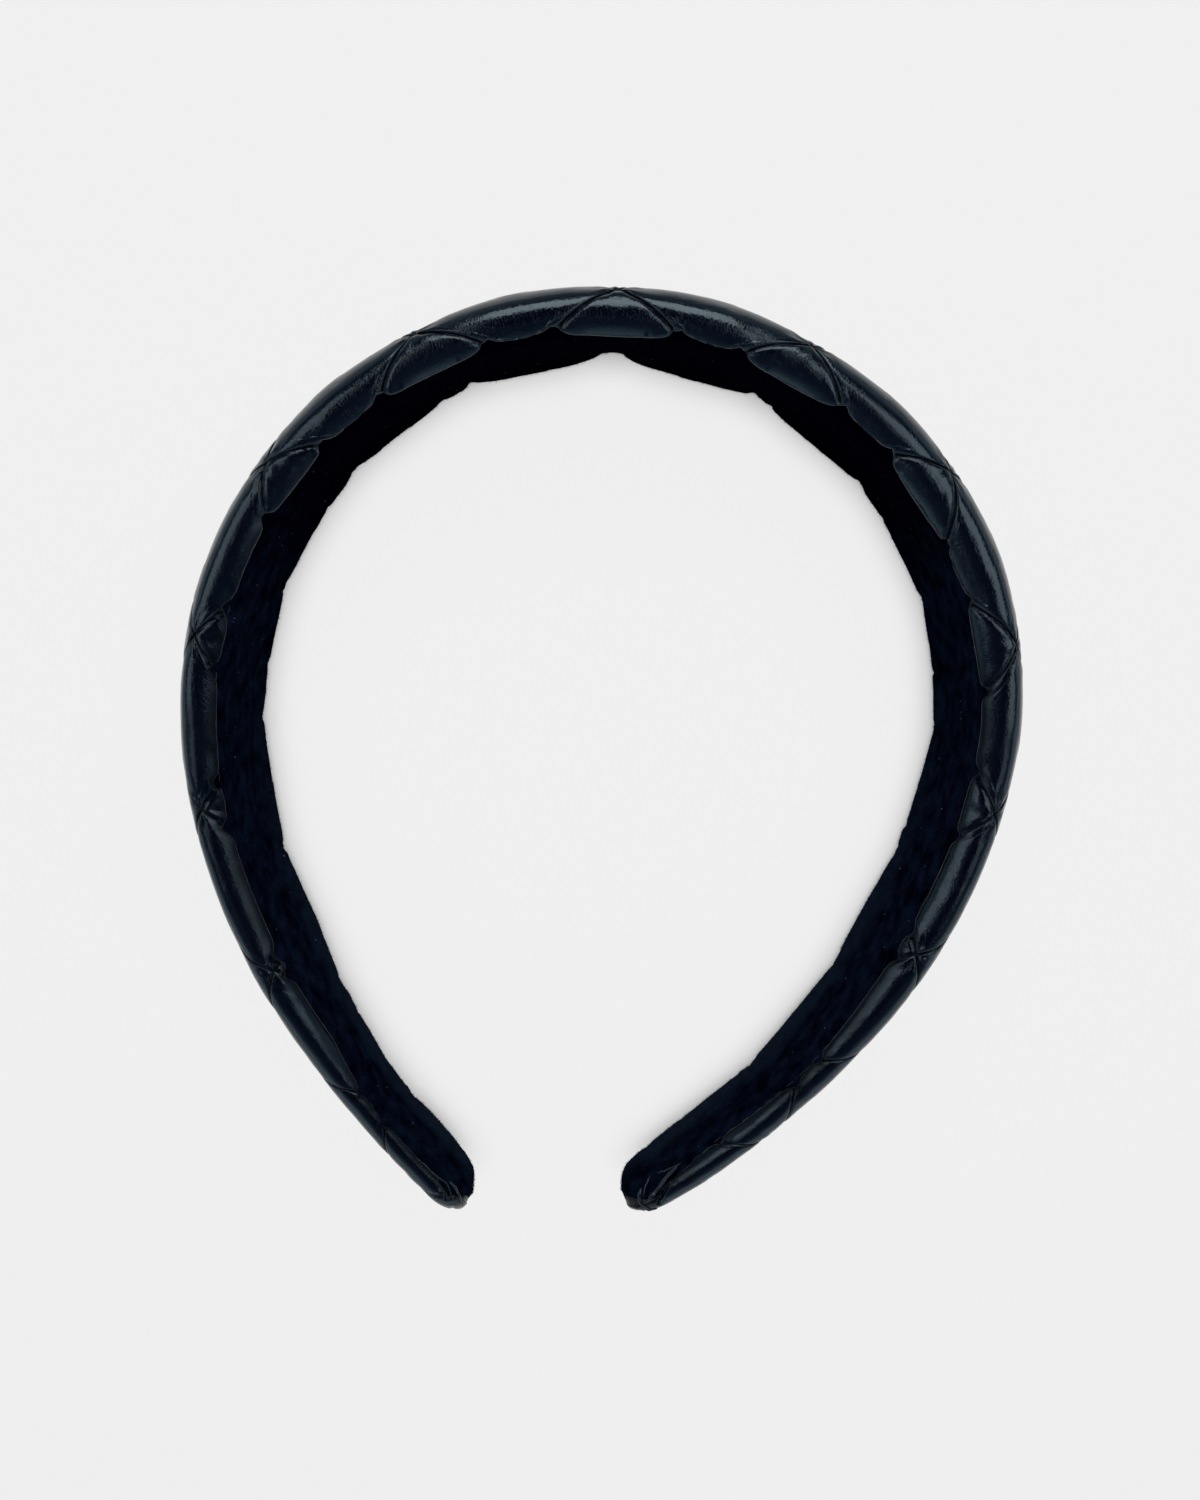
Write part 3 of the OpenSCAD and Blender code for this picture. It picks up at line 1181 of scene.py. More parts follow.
@dataclass(frozen=True)
class Velvet(Finish):
    """Short black velvet with brushed patches, a soft sheen and a few specks of lint.

    It reads its piece's brushing mark, which also paints shade under the crown and sheen at the
    lower edge.
    """

    name: str = "velvet"
    deep: Colour = (0.0001, 0.0001, 0.0026, 1)
    brushed: Colour = (0.0042, 0.009, 0.0235, 1)
    # painted sheen: the lighter colour where the brushing mark passes 1, at the arms' lower edge
    rim: Colour = (0.009, 0.016, 0.026, 1)
    lint: Colour = (0.14, 0.16, 0.18, 1)
    lint_share: float = 0.045
    patches: Places = ((0.14, 0.0), (0.42, 1.0))
    sheen: float = 0.0015
    sheen_rough: float = 0.35
    sheen_tint: Colour = (0.1, 0.3, 1.0, 1)
    gloss: float = 0.002
    rough: float = 0.95
    pile_scale: float = 3800
    pile_rough: float = 0.7
    pile_depth: float = 0.25
    pile_strength: float = 0.9

    def shader(self, sheet: ShaderSheet) -> Node:
        """Lays brushed patches with painted shade and sheen, pile-sized bumps and specks.

        Args:
            sheet: the material's nodes.

        Returns:
            The shader's node.
        """
        # The brushing mark is partly painted light: low under the crown as painted shade, above 1
        # at the lower edge as painted sheen
        nap_and_light = sheet.mark("nap_and_light")
        cloud = HandledPatches().use(sheet, Patches_per_mm=0.3, Contrast=1.3).outputs["Mask"]
        specks = LintSpecks().use(sheet, Specks_per_mm=1.0, Share=self.lint_share).outputs["Mask"]
        pile = sheet.noise(sheet.place(), self.pile_scale, 4, self.pile_rough).outputs["Fac"]
        lively = sheet.math("MULTIPLY", sheet.math("MULTIPLY", cloud, nap_and_light), pile)
        napped_and_lit = sheet.mix(sheet.ramp(lively, *self.patches), self.deep, self.brushed)
        # Where the brushing mark passes 1, at the arms' lower edge, the rim colour paints a sheen
        over = sheet.math("SUBTRACT", nap_and_light, 1.0, clamp=True)
        return sheet.add("ShaderNodeBsdfPrincipled", {
            "Base Color": sheet.mix(specks, sheet.mix(over, napped_and_lit, self.rim), self.lint),
            "Roughness": self.rough, "Specular IOR Level": self.gloss,
            "Sheen Weight": self.sheen, "Sheen Roughness": self.sheen_rough,
            "Sheen Tint": self.sheen_tint,
            "Normal": sheet.bump(pile, self.pile_strength, self.pile_depth),
        })


@dataclass(frozen=True)
class SewingThread(Finish):
    """Black twisted sewing thread."""

    name: str = "sewing_thread"
    dark: Colour = (0.0006, 0.001, 0.003, 1)
    light: Colour = (0.002, 0.0035, 0.008, 1)
    strand_scale: float = 1400
    strand_bend: float = 1.5
    strand_strength: float = 0.5
    strand_depth: float = 0.06
    gloss: float = 0.2
    rough: float = 0.55

    def shader(self, sheet: ShaderSheet) -> Node:
        """Lays strands as slanting waves, in colour and bump.

        Args:
            sheet: the material's nodes.

        Returns:
            The shader's node.
        """
        strands = sheet.add("ShaderNodeTexWave", {
            "Vector": sheet.place(), "Scale": self.strand_scale,
            "Distortion": self.strand_bend}).outputs["Fac"]
        return sheet.add("ShaderNodeBsdfPrincipled", {
            "Base Color": sheet.mix(strands, self.dark, self.light), "Roughness": self.rough,
            "Specular IOR Level": self.gloss,
            "Normal": sheet.bump(strands, self.strand_strength, self.strand_depth),
        })


@dataclass(frozen=True)
class PaleFloor(Finish):
    """Pale floor, evenly lit as the camera sees it, with a painted shadow close round what lies on
    it.
    """

    name: str = "pale_floor"
    grey: float = 0.9
    clouded: float = 0.995
    lit: float = 0.872
    even: float = 0.97
    shade: float = 1.08
    shade_power: float = 1.88
    contact: float = 0.007
    gloss: float = 0.05
    rough: float = 0.9

    def shader(self, sheet: ShaderSheet) -> Node:
        """Lays a matt floor and, for the camera, an even light with a painted contact shadow.

        Args:
            sheet: the material's nodes.

        Returns:
            The shader's node.
        """
        cloud = HandledPatches().use(sheet, Patches_per_mm=0.01, Contrast=0.5).outputs["Mask"]
        light, dull = ((g, g, g, 1) for g in (self.grey, self.grey * self.clouded))
        plain = sheet.add("ShaderNodeBsdfPrincipled", {
            "Base Color": sheet.mix(cloud, light, dull), "Roughness": self.rough,
            "Specular IOR Level": self.gloss})
        # painted shadow: the camera's glow darkens where ambient occlusion finds the band close by
        near = sheet.add("ShaderNodeAmbientOcclusion", {"Distance": self.contact}, samples=8)
        closed = sheet.math("SUBTRACT", 1.0, near.outputs["AO"])
        dark = sheet.math("MULTIPLY", sheet.math("POWER", closed, self.shade_power), self.shade)
        shade = sheet.math("MULTIPLY", sheet.math("SUBTRACT", 1.0, dark), self.lit)
        lit = sheet.add("ShaderNodeEmission", {"Color": shade})
        seen = sheet.add("ShaderNodeLightPath").outputs["Is Camera Ray"]
        share = sheet.math("MULTIPLY", seen, self.even)
        return sheet.add("ShaderNodeMixShader", {0: share, 1: plain.outputs[0], 2: lit.outputs[0]})


# ------------------------------------------------------------------------------------- pieces


@dataclass
class QuiltedCover:
    """The leatherette cover, from the lining's upper edge round the outer face to its lower one."""

    form: BandForm
    relief: LeatherRelief
    finish: Leatherette
    steps: int = 50
    fine_tip: float = 12.0
    tip_rings: int = 22
    last_turn: float = 88.0
    clear: float = 0.2
    roll: float = 0.3
    under: float = 0.3
    lip_turns: tuple[float, ...] = (25.0, 50.0, 75.0, 100.0)
    lip_spacing: float = 0.2
    crowding: float = 0.7
    whole: float = 0.999
    nudge: float = 0.01
    seam_wide: float = 0.24
    lip_shade: float = 0.65
    lip_deep: float = 1.1
    lip_fade: float = 0.9
    rolled_shade: float = 1.5
    arms_start: float = 60.0
    arms_fade: float = 40.0
    tip_shade: float = 0.3
    tip_starts: tuple[float, float] = (-212.0, 217.0)
    tip_fade: float = 8.0
    rest_z: float = 0.02

    def stations(self) -> Array:
        """Lists the distances along the band at which a ring of the cover is made.

        Returns:
            Distances in rising order.
        """
        f, s = self.form, self.form.sizes
        step = s.diamond_len / self.steps
        count = self.steps // s.steps
        middle = f.unslid(np.arange((s.left_step - 1) * count, (s.right_step + 4) * count) * step)
        inside = (middle > f.left_end + self.clear) & (middle < f.right_end - self.clear)
        middle = np.concatenate([[f.left_end], middle[inside], [f.right_end]])
        halves = (middle[1:] + middle[:-1]) / 2
        near_tip = (halves < f.left_end + self.fine_tip) | (halves > f.right_end - self.fine_tip)
        turn = np.radians(np.linspace(0, self.last_turn, self.tip_rings + 1)[1:])
        round_end = s.tip_len * np.sin(turn)
        return np.sort(np.concatenate([
            f.left_end - round_end, middle, halves[near_tip], f.right_end + round_end]))

    def shade(self, u: Array, v: Array) -> Array:
        """How much shade is painted on the cover, as marks from 0 to 1.

        Args:
            u: distances along the band.
            v: places across the cover, one row for each distance.

        Returns:
            Marks of painted shade: higher where the arms' edge is turned in over the rim, and at
                both tips.
        """
        arms = np.clip((np.abs(u[:, None]) - self.arms_start) / self.arms_fade, 0, 1)
        edge = np.clip((self.lip_deep - (v[:, -1:] - v)) / self.lip_fade, 0, 1) * arms
        left, right = self.tip_starts
        tips = np.clip(np.maximum(left - u, u - right) / self.tip_fade, 0, 1)[:, None]
        return np.maximum(edge * self.lip_shade, tips * self.tip_shade)

    def turned(self, u: Array, columns: int) -> Array:
        """Finds the patches that are split along a rising seam instead of a falling one.

        Args:
            u: the rings' distances along the band.
            columns: how many patches lie across the cover.

        Returns:
            True or false for each patch, with the rings as rows.
        """
        step = self.form.sizes.diamond_len / self.steps
        col = np.round(self.form.slid(u[:-1, None]) / step)
        row = np.arange(columns)[None, :] - round(self.steps * self.form.sizes.rows_down)

        def gap(n: Array) -> Array:
            """Steps from the middle between seams."""
            return np.abs(n - self.steps * np.floor(n / self.steps) - self.steps / 2)

        return gap(col + row + 1) < gap(col - row)

    def crowd(self, u: Array, v: Array) -> tuple[Array, Array]:
        """Draws the points of the cover closer together at the seams, for fine creases.

        Args:
            u: the rings' distances along the band.
            v: the points' distances across it, with the rings as rows.

        Returns:
            Distances along and across the band, with the rings as rows.
        """
        f, s = self.form, self.form.sizes
        along = np.broadcast_to(u[:, None], v.shape)
        one, two = (-self.crowding * np.sin(2 * np.pi * (p - 0.5)) / (2 * np.pi)
                    for p in f.phases(along, v))
        room = np.minimum(v[:, -1:] - v, v - v[:, :1]) / 2
        share = np.clip(room, 0, 1) * (f.width_share(u)[:, None] > self.whole)
        return (along + share * (one + two) / 2 * s.diamond_len,
                v + share * (one - two) / 2 * s.diamond_wide)

    def lip(self, u: Array, v: Array, rise: Array) -> tuple[Array, Array]:
        """Rolls the cover's edge over and down to the stiffener.

        Args:
            u: the rings' distances along the band.
            v: the edge's distances across it.
            rise: the edge's heights over the deepest seams.

        Returns:
            More points for each ring, inwards and across.
        """
        f = self.form
        n, b = f.section(u, v, rise)
        under_n, under_b = f.section(u, v, rise - 1)
        near_n, near_b = f.section(u, v - self.nudge * np.sign(v), rise)
        up = np.stack([n - under_n, b - under_b])
        on = np.stack([n - near_n, b - near_b])
        on /= np.maximum(np.hypot(*on), 1e-9)
        radius = self.roll * f.width_share(u)
        points = [np.stack([n, b]) + radius * (math.sin(t) * on - (1 - math.cos(t)) * up)
                  for t in np.radians(self.lip_turns)]
        points.append(points[-1] - up * (np.maximum(rise, 0) + self.under * f.width_share(u)))
        return np.stack([q[0] for q in points], -1), np.stack([q[1] for q in points], -1)

    def build(self) -> Object:
        """Makes the cover and dresses it.

        Returns:
            The cover's object.
        """
        f = self.form
        u = self.stations()
        grid, v = self.crowd(u, f.rows(u, self.steps))
        rise = self.relief.height(f, grid, v)
        for crease in (*TIP_CREASES[Tip.LEFT], *TIP_CREASES[Tip.RIGHT]):
            rise = rise + crease.height(grid, v)
        n, b = f.section(grid, v, rise)
        up_n, up_b = self.lip(u, v[:, -1], rise[:, -1])
        low_n, low_b = self.lip(u, v[:, 0], rise[:, 0])
        n = np.concatenate([n, up_n, low_n[:, ::-1]], 1)
        b = np.concatenate([b, up_b, low_b[:, ::-1]], 1)
        columns, rim = v.shape[1], up_n.shape[1]
        rims = (np.repeat(edge, rim, 1) for edge in (grid[:, -1:], grid[:, :1]))
        grid = np.concatenate([grid, *rims], 1)
        points = f.place(grid, n, b)
        keep_above(points, self.rest_z)
        turned = np.zeros((len(u) - 1, n.shape[1]), bool)
        turned[:, : columns - 1] = self.turned(u, columns - 1)
        piece = mesh_piece("quilted_leatherette", points, ring_faces(len(u), n.shape[1], turned))
        # The mark "seam" paints shade in the seams' grooves, on the arms' turned-in edge and at
        # both tips; the rolled edge takes more of it
        shade = self.shade(u, v)
        apart = f.seam_gaps(grid[:, :columns], v).min(0)
        seam = np.maximum(fade(apart, self.seam_wide), shade)
        edge = np.repeat(np.minimum(shade[:, -1:] * self.rolled_shade, 1), 2 * rim, 1)
        mark_points(piece, "seam", np.concatenate([seam, edge], 1))
        rolled = np.arange(1, rim + 1) * self.lip_spacing
        over = np.concatenate([v, v[:, -1:] + rolled, v[:, :1] - rolled[::-1]], 1)
        mark_places(piece, grid, over)
        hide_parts("quilted_cover")
        dress(piece, self.finish.material())
        return piece


@dataclass
class SeamThread:
    """The stitches of all seams, as one mesh of short curved lengths of thread."""

    form: BandForm
    relief: LeatherRelief
    finish: SewingThread
    pitch: float = 2.7
    shown: float = 0.86
    radius: float = 0.09
    thin: float = 0.55
    thin_ends: float = 0.08
    rise: float = 0.16
    sunk: float = 0.12
    walk_rise: float = 0.5
    margin: float = 0.6
    rings: int = 6
    sides: int = 6
    rest_z: float = 0.03

    def centres(self) -> tuple[Array, Array]:
        """Places of the thread's middle, one row for each stitch.

        Returns:
            Places along and across the band.
        """
        s = self.form.sizes
        us, vs = [], []
        last = int(s.far_u / s.diamond_len) + 3
        share = np.linspace(0, self.shown, self.rings)
        for way in Way:
            for index in range(-last, last):
                u, v = self.form.seam_line(way, index, self.margin)
                if len(u) < 3:
                    continue
                line = self.form.leather(u, v, self.walk_rise) / MM
                steps = np.linalg.norm(np.diff(line, axis=0), axis=1)
                gone = np.concatenate([[0], np.cumsum(steps)])
                count = int(gone[-1] / self.pitch)
                starts = (gone[-1] - count * self.pitch) / 2 + self.pitch * np.arange(count)
                at = starts[:, None] + share[None, :] * self.pitch
                us.append(np.interp(at, gone, u))
                vs.append(np.interp(at, gone, v))
        return np.concatenate(us), np.concatenate(vs)

    def build(self) -> Object:
        """Makes the stitches and dresses them.

        Returns:
            The thread's object.
        """
        f = self.form
        u, v = self.centres()
        share = np.linspace(0, 1, self.rings)[None, :]
        lift = self.relief.height(f, u, v) + self.rise * np.sin(np.pi * share) - self.sunk
        bulge = np.sin(np.pi * np.clip(share, self.thin_ends, 1 - self.thin_ends))
        radius = self.radius * (self.thin + (1 - self.thin) * bulge)
        points, faces = rods(f, u, v, lift, radius, radius, self.sides)
        keep_above(points, self.rest_z)
        piece = mesh_piece("seam_stitches", points, faces)
        dress(piece, self.finish.material())
        return piece


@dataclass
class EdgeStitches:
    """Dim stitches that hold the velvet just below the edge of the leatherette."""

    form: BandForm
    finish: SewingThread
    spans: Places = ((-126, -80), (158, 212))
    pitch: float = 3.1
    length: float = 1.9
    below: float = 0.75
    rise: float = 0.34
    least_rise: float = 0.55
    radius: float = 0.06
    stray: float = 0.5
    stray_turn: float = 1.7
    rings: int = 6
    sides: int = 6

    def build(self) -> Object:
        """Makes the stitches and dresses them.

        Returns:
            The stitches' object.
        """
        f = self.form
        starts = np.concatenate([np.arange(first, last, self.pitch) for first, last in self.spans])
        starts = starts + self.stray * np.sin(starts * self.stray_turn)
        share = np.linspace(0, 1, self.rings)[None, :]
        u = starts[:, None] + self.length * share
        arch = self.least_rise + (1 - self.least_rise) * np.sin(np.pi * share)
        radius = np.full(u.shape, self.radius)
        points, faces = rods(f, u, f.lip_even(u) + self.below, self.rise * arch, radius, radius,
                             self.sides)
        piece = mesh_piece("edge_stitches", points, faces)
        dress(piece, self.finish.material())
        return piece


@dataclass
class TipFold:
    """The leatherette folded in beside the velvet's end at one tip, as narrow rolled strips."""

    form: BandForm
    relief: LeatherRelief
    finish: Leatherette
    tip: Tip
    rings: int = 48
    sides: int = 14
    blend: int = 7
    blunt: float = 1.02
    end_power: int = 6
    uneven: float = 0.1
    bumps: float = 11.0
    first_bump: float = 2.0
    grain_wrap: float = 0.3

    def path(self, roll: Roll) -> Array:
        """Evens out a roll's path.

        Args:
            roll: the roll.

        Returns:
            Its places, along the band in the first row and across it in the second.
        """
        corners = np.array(roll.path)
        gone = np.concatenate([[0], np.cumsum(np.hypot(*np.diff(corners, axis=0).T))])
        at = np.linspace(0, gone[-1], self.rings)
        lines = (np.pad(np.interp(at, gone, column), self.blend, mode="reflect",
                        reflect_type="odd") for column in corners.T)
        weights = np.ones(self.blend) / self.blend
        return np.stack([np.convolve(line, weights, "same")[self.blend: -self.blend]
                         for line in lines])

    def build(self) -> Object:
        """Makes the fold and dresses it.

        Returns:
            The fold's object.
        """
        f, rolls = self.form, TIP_ROLLS[self.tip]
        u, v = np.stack([self.path(roll) for roll in rolls], 1)
        sizes = np.array([(roll.lift, roll.half_wide, roll.half_thick) for roll in rolls])
        lift, wide, thick = sizes.T[..., None]
        share = np.linspace(-1, 1, self.rings)[None, :]
        bumps = np.sin(self.bumps * share + self.first_bump)
        size = np.sqrt(self.blunt - share**self.end_power) * (1 - self.uneven + self.uneven * bumps)
        points, faces = rods(f, u, v, self.relief.height(f, u, v) + lift, wide * size,
                             thick * size, self.sides)
        piece = mesh_piece(f"{self.tip.value}_tip_fold", points, faces)
        mark_points(piece, "seam", np.zeros(points.shape[:3]))
        around = np.sin(np.linspace(0, 2 * np.pi, self.sides, endpoint=False)) * self.grain_wrap
        mark_places(piece, u[..., None], v[..., None] + around)
        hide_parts(f"{self.tip.value}_tip_tuck")
        dress(piece, self.finish.material())
        return piece


@dataclass
class VelvetLining:
    """The velvet strip on the inner face, drawn a little way over the lower edge."""

    form: BandForm
    relief: LeatherRelief
    finish: Velvet
    step: float = 0.6
    face_rows: int = 46
    lap: float = 2.6
    lap_rows: int = 8
    lap_lift: float = 0.3
    short: float = 0.15
    bend_rows: int = 16
    tucked: float = 35.0
    least_turn: float = -0.1
    join: int = 5
    join_power: float = 1.5
    join_across: float = 0.6
    tip_rings: int = 15
    last_turn: float = 86.0
    waves: tuple = ((0.12, (9.0, 5.0), (23.0, 7.0), 0.6), (0.05, (4.1, 3.3), (2.7, 1.9)))
    hem: float = 0.15
    hem_rise: float = 0.1
    end_spare: float = 0.02
    rest_z: float = 0.05

    def stations(self) -> Array:
        """Lists the distances along the band at which a ring of the lining is made.

        Returns:
            Distances in rising order.
        """
        f, s = self.form, self.form.sizes
        turn = np.radians(np.linspace(0, self.last_turn, self.tip_rings + 1)[1:])
        ends = (s.tip_len - self.short) * np.sin(turn)
        middle = np.arange(f.left_end, f.right_end, self.step)
        return np.concatenate([f.left_end - ends[::-1], middle, [f.right_end], f.right_end + ends])

    def face(self, u: Array) -> tuple[Array, Array]:
        """The part of the lining that shows, from its upper edge to the end of its lap.

        Args:
            u: distances along the band, one a row.

        Returns:
            Points inwards and across, with the rings as rows.
        """
        f = self.form
        share, small = self.end_share(u)[:, None], f.width_share(u)[:, None]
        flat, thick = f.flat_width(u)[:, None], f.thickness(u)[:, None]
        apex = (f.puff_height(u) + f.rim_depth(u))[:, None]
        start = f.lip_turn(u)[:, None] - math.radians(90 + self.tucked)
        start = np.maximum(start, self.least_turn)
        turn = start + (math.pi / 2 - start) * np.linspace(0, 1, self.bend_rows)[None, :]
        w = np.linspace(0, 1, self.face_rows - self.bend_rows + 1)[None, 1:]
        even = flat * (1 - w) - f.lining_half(u)[:, None] * w
        b = np.concatenate([flat + f.rim_side(u)[:, None] * np.cos(turn), even], 1) * share
        n = np.concatenate([-apex - (thick - apex) * np.sin(turn),
                            np.broadcast_to(-thick, even.shape)], 1)
        n += sum(high * uneven(u[:, None], b, *waves) for high, *waves in self.waves) * small
        back = np.linspace(0, 1, self.lap_rows)[None, :]
        v = -(f.reach(u)[:, None] - back * self.lap * small)
        grid = np.broadcast_to(u[:, None], v.shape)
        lap_n, lap_b = f.section(grid, v, self.relief.height(f, grid, v) + self.lap_lift)
        for k in range(self.join):
            share = ((k + 1) / (self.join + 1)) ** self.join_power
            col = self.face_rows - self.join + k
            b[:, col] += (lap_b[:, 0] - b[:, col]) * share * self.join_across
            n[:, col] += (lap_n[:, 0] - n[:, col]) * share
        return np.concatenate([n, lap_n], 1), np.concatenate([b, lap_b], 1)

    def end_share(self, u: Array) -> Array:
        """Share of the lining's width that is left towards its own rounded ends."""
        end = self.form.sizes.tip_len - self.short + self.end_spare
        return np.sqrt(np.clip(1 - (self.form.past_end(u) / end) ** 2, 0, 1))

    def build(self) -> tuple[Object, Array]:
        """Makes the lining and dresses it.

        Returns:
            The lining's object, and the points of its shown face in metres, rings as rows.
        """
        f, s = self.form, self.form.sizes
        u = self.stations()
        n, b = self.face(u)
        end = (self.lap - self.hem) * f.width_share(u) - f.reach(u)
        end_n, end_b = f.section(u, end, self.hem_rise)
        in_n, in_b = f.section(u, -f.reach(u), self.hem_rise)
        half = f.lining_half(u) * self.end_share(u)
        deep = -f.thickness(u) + s.lining_t * f.thick_share(u)
        n = np.concatenate([n, np.stack([end_n, in_n, deep, deep], -1)], 1)
        b = np.concatenate([b, np.stack([end_b, in_b, -half, half], -1)], 1)
        points = f.place(np.broadcast_to(u[:, None], n.shape), n, b)
        keep_above(points, self.rest_z)
        piece = mesh_piece("velvet_strip", points, ring_faces(len(u), n.shape[1])[:, ::-1])
        NapAndLight().mark(piece, points)
        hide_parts("velvet_lining")
        dress(piece, self.finish.material())
        return piece, points[:, : self.face_rows + self.lap_rows]

    def flat_cut(self) -> tuple[float, float, float]:
        """Size of the strip before it was glued on.

        Returns:
            Its width and length in metres and its area in square metres.
        """
        f = self.form
        u = self.stations()
        wide = 2 * f.lining_half(u) + self.lap * f.width_share(u)
        area = float(np.sum((wide[1:] + wide[:-1]) / 2 * np.diff(u)))
        inner = 1 - f.thickness(np.zeros(1))[0] / BAND_TABLE[:, BEND].mean()
        return float(wide.max()) * MM, float(u[-1] - u[0]) * inner * MM, area * inner * MM * MM


@dataclass
class VelvetPile:
    """Loose fibres of the velvet that stand out from its face and make its outline soft."""

    finish: Velvet
    face_fibres: int = 24000
    edge_fibres: int = 16000
    edge_columns: int = 11
    length: float = 0.42
    length_range: tuple[float, float] = (0.45, 1.25)
    lean: float = 0.45
    root: float = 0.035
    first_column: float = 9.6
    inside: float = 1.01
    rest_z: float = 0.03
    seed: int = 7

    def build(self, shown: Array) -> Object:
        """Makes the fibres on the lining's face.

        Args:
            shown: the face's points in metres, rings as rows.

        Returns:
            The pile's object.
        """
        draw = np.random.default_rng(self.seed)
        rings, columns = shown.shape[:2]
        along, across = np.gradient(shown, axis=0), np.gradient(shown, axis=1)
        normal = np.cross(along, across)
        normal /= np.maximum(np.linalg.norm(normal, axis=-1, keepdims=True), 1e-12)
        centre = shown.reshape(-1, 3).mean(0)
        if np.median(((shown - centre) * normal)[..., :2].sum(-1)) > 0:
            normal = -normal
        face_j = draw.uniform(self.first_column, columns - self.inside, self.face_fibres)
        edge_j = draw.uniform(columns - self.edge_columns, columns - self.inside, self.edge_fibres)
        j = np.concatenate([face_j, edge_j])
        i = draw.uniform(1, rings - 1 - self.inside, len(j))
        i0, j0 = i.astype(int), j.astype(int)
        fi, fj = (i - i0)[:, None], (j - j0)[:, None]

        def at(grid: Array) -> Array:
            """Reads a grid between its points."""
            low, high = (grid[i0, k] * (1 - fi) + grid[i0 + 1, k] * fi for k in (j0, j0 + 1))
            return low * (1 - fj) + high * fj

        root, up = at(shown), at(normal)
        way = up + draw.normal(0, self.lean, (len(j), 3))
        way /= np.linalg.norm(way, axis=1, keepdims=True)
        length = self.length * MM * draw.uniform(*self.length_range, (len(j), 1))
        side = np.cross(way, draw.normal(0, 1, (len(j), 3)))
        side /= np.linalg.norm(side, axis=1, keepdims=True)
        other = np.cross(way, side)
        corners = [root + self.root * MM * (math.cos(a) * side + math.sin(a) * other)
                   for a in (0, 2 * math.pi / 3, 4 * math.pi / 3)]
        points = np.stack([*corners, root + way * length], 1)
        keep_above(points, self.rest_z)
        one = np.array([[0, 2, 1], [0, 1, 3], [1, 2, 3], [2, 0, 3]])
        piece = mesh_piece("velvet_pile", points, repeated(one, len(j), 4))
        NapAndLight().mark(piece, points)
        dress(piece, self.finish.material())
        return piece


# ------------------------------------------------------------------------------------- studio


@dataclass(frozen=True)
class Softbox:
    """A soft rectangular light, placed by its direction from the band."""

    name: str
    azimuth: float
    from_zenith: float
    wide: float
    tall: float
    radiance: float
    colour: tuple[float, float, float] = (1.0, 0.96, 0.92)
    away: float = 0.37

    def build(self) -> None:
        """Hangs the light so that it faces the band."""
        lamp = bpy.data.lights.new(self.name, "AREA")
        lamp.shape = "RECTANGLE"
        lamp.size, lamp.size_y = self.wide, self.tall
        lamp.energy = self.radiance * math.pi * self.wide * self.tall
        lamp.color = self.colour
        holder = bpy.data.objects.new(self.name, lamp)
        a, z = math.radians(self.azimuth), math.radians(self.from_zenith)
        back = np.array([math.sin(z) * math.cos(a), math.sin(z) * math.sin(a), math.cos(z)])
        right = np.array([-math.sin(a), math.cos(a), 0.0])
        up = np.cross(back, right)
        turn = Matrix(np.stack([right, up, back], 1).tolist()).to_4x4()
        holder.matrix_world = Matrix.Translation((back * self.away).tolist()) @ turn
        bpy.context.scene.collection.objects.link(holder)


@dataclass(frozen=True)
class Viewpoint:
    """The camera over the band, as the photograph was taken."""

    place: tuple[float, float, float] = (-0.0021962, 0.0380208, 0.2160003)
    pitch: float = -0.1514
    yaw: float = -0.0113
    focal_px: float = 1121.9
    frame_px: float = 1500.0
    sensor: float = 36.0
    clip: tuple[float, float] = (0.01, 20.0)

    def build(self) -> None:
        """Makes the camera and sets it as the scene's."""
        camera = bpy.data.cameras.new("overhead_camera")
        camera.sensor_width = self.sensor
        camera.lens = self.focal_px * self.sensor / self.frame_px
        camera.clip_start, camera.clip_end = self.clip
        holder = bpy.data.objects.new("overhead_camera", camera)
        turn = Matrix.Rotation(self.pitch, 4, "X") @ Matrix.Rotation(self.yaw, 4, "Y")
        holder.matrix_world = Matrix.Translation(self.place) @ turn
        bpy.context.scene.collection.objects.link(holder)
        bpy.context.scene.camera = holder


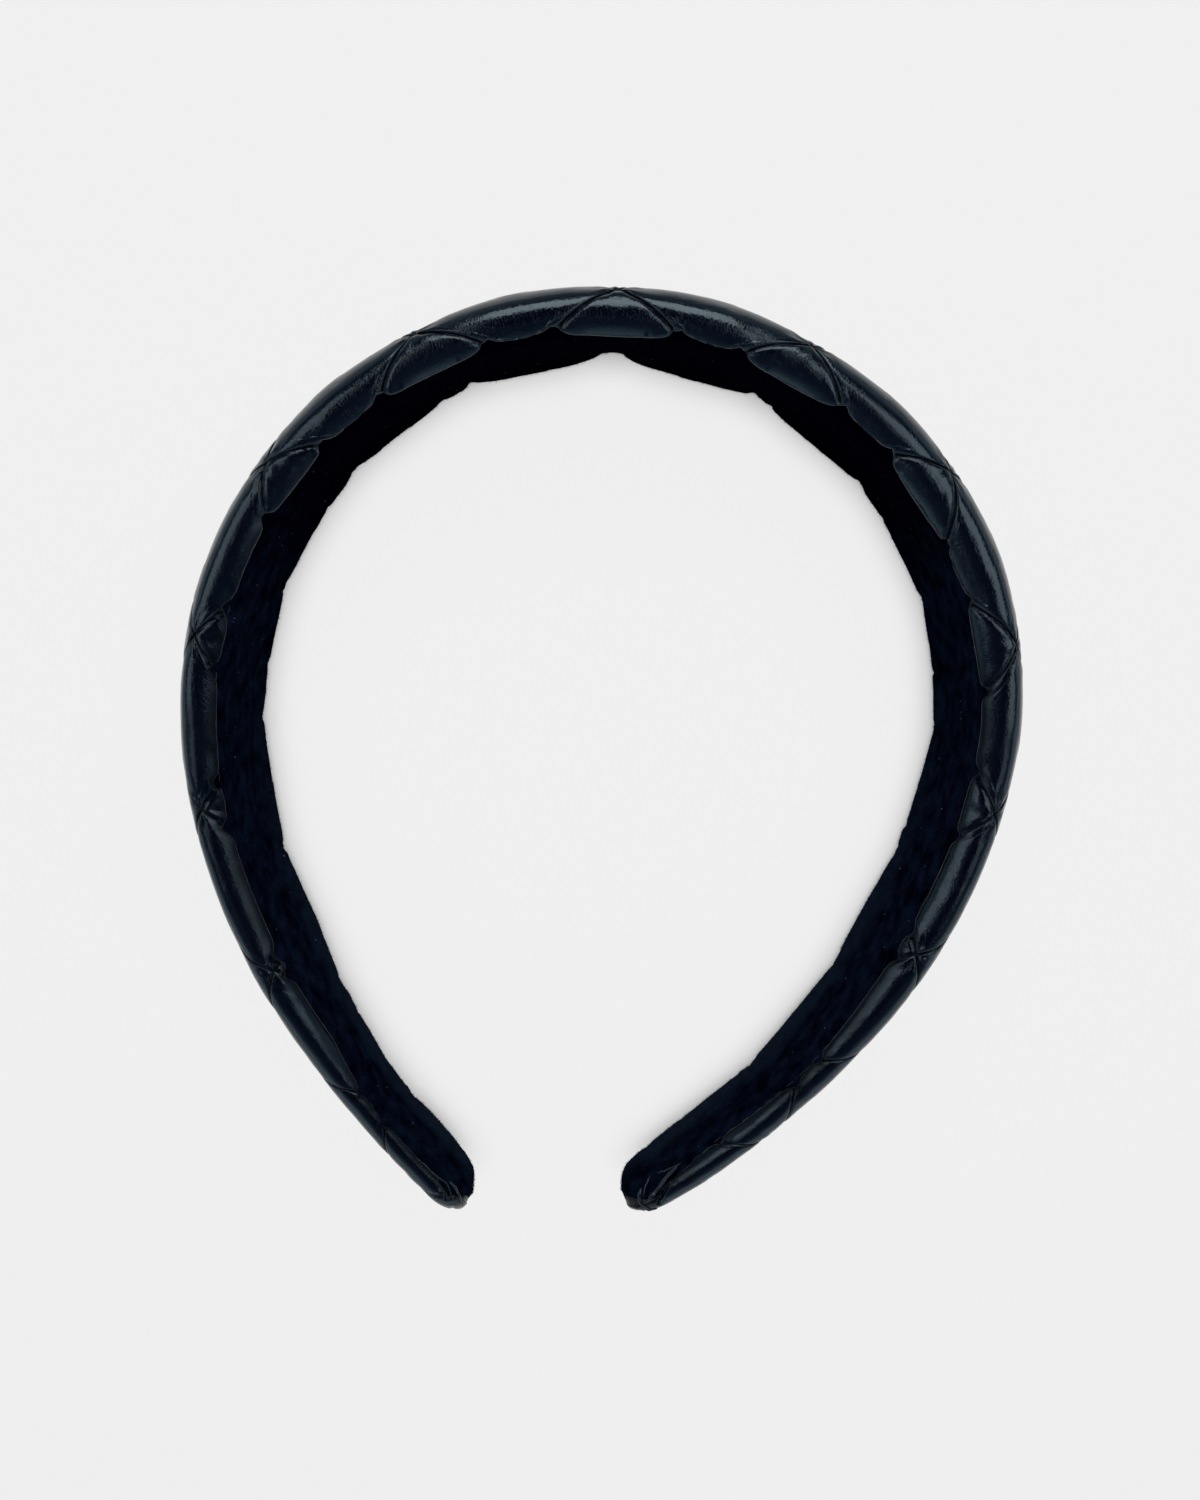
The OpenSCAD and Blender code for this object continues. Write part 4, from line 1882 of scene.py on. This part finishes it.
@dataclass
class Studio:
    """Floor, room, lights and camera."""

    view: Viewpoint = field(default_factory=Viewpoint)
    ground: PaleFloor = field(default_factory=PaleFloor)
    floor_half: float = 2.5
    room: Colour = (0.5, 0.75, 1.0, 1)
    horizon: Colour = (0.9, 1.0, 1.0, 1)
    levels: Places = ((0.0, 0.8), (0.2, 0.8), (0.42, 0.55), (0.6, 0.25), (0.7, 0.1), (0.8, 0.13),
                      (0.88, 0.08), (0.93, 0.0))
    strength: float = 0.75
    more_behind: float = -0.35
    more_beside: float = 0.55
    boxes: tuple[Softbox, ...] = (
        Softbox("key_softbox", 88, 37, 0.26, 0.22, 4.7, (1.0, 0.94, 0.88), 0.4),
        Softbox("left_softbox", 178, 29, 0.20, 0.18, 1.75),
        Softbox("right_softbox", 3, 28, 0.20, 0.18, 2.4),
        Softbox("left_front_softbox", 219, 29, 0.08, 0.10, 0.7),
        Softbox("right_front_softbox", -39, 30, 0.08, 0.10, 0.8),
    )

    def floor(self) -> Object:
        """Lays the pale floor.

        Returns:
            The floor's object.
        """
        h = self.floor_half
        points = np.array([[-h, -h, 0], [h, -h, 0], [h, h, 0], [-h, h, 0]])
        piece = mesh_piece("pale_floor", points, np.array([[0, 1, 2, 3]]), smooth=False)
        piece.data.materials.append(self.ground.material())
        return piece

    def sky(self) -> None:
        """Makes the room round the band: dark overhead and dim grey towards the walls."""
        world = bpy.data.worlds.new("studio_room")
        world.use_nodes = True
        sheet = ShaderSheet(world.node_tree)
        where = sheet.add("ShaderNodeTexCoord").outputs["Generated"]
        split = sheet.add("ShaderNodeSeparateXYZ", {0: where})
        level = sheet.ramp(split.outputs["Z"], *self.levels)
        tint = sheet.mix(level, (0, 0, 0, 1), sheet.mix(level, self.room, self.horizon))
        flank = sheet.math("MULTIPLY", split.outputs["X"], split.outputs["X"])
        ends = sheet.math("MULTIPLY_ADD", split.outputs["Y"], self.more_behind, self.strength)
        side = sheet.math("MULTIPLY_ADD", flank, self.more_beside, ends)
        light = sheet.add("ShaderNodeBackground", {"Color": tint, "Strength": side})
        sheet.add("ShaderNodeOutputWorld", {"Surface": light.outputs[0]})
        bpy.context.scene.world = world

    def build(self) -> None:
        """Sets the whole studio up."""
        bpy.context.scene.view_settings.view_transform = "Standard"
        self.floor()
        self.sky()
        for box in self.boxes:
            box.build()
        self.view.build()


def report(piece: Object) -> None:
    """Logs a piece's name and how many triangles it has."""
    piece.data.calc_loop_triangles()
    LOG.info("%s: %d triangles", piece.name, len(piece.data.loop_triangles))


def main() -> None:
    """Builds every piece in order, then the studio."""
    logging.basicConfig(level=logging.INFO, format="%(name)s: %(message)s")
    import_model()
    form, relief = BandForm(), LeatherRelief()
    leatherette, velvet = Leatherette(), Velvet()
    report(QuiltedCover(form, relief, leatherette).build())
    report(SeamThread(form, relief, SewingThread()).build())
    lining = VelvetLining(form, relief, velvet)
    strip, shown = lining.build()
    report(strip)
    pile = VelvetPile(Velvet(name="velvet_pile", sheen=0.004)).build(shown)
    report(pile)
    wide, long, area = lining.flat_cut()
    thread = SewingThread("edge_thread", dark=(0.008, 0.011, 0.017, 1), light=(0.03, 0.04, 0.05, 1))
    report(EdgeStitches(form, thread).build())
    fold = Leatherette(name="leatherette_fold", rubbed=(0.004, 0.007, 0.014, 1), rough=0.24)
    for tip in Tip:
        report(TipFold(form, relief, fold, tip).build())
    Studio().build()


if __name__ == "__main__":
    main()
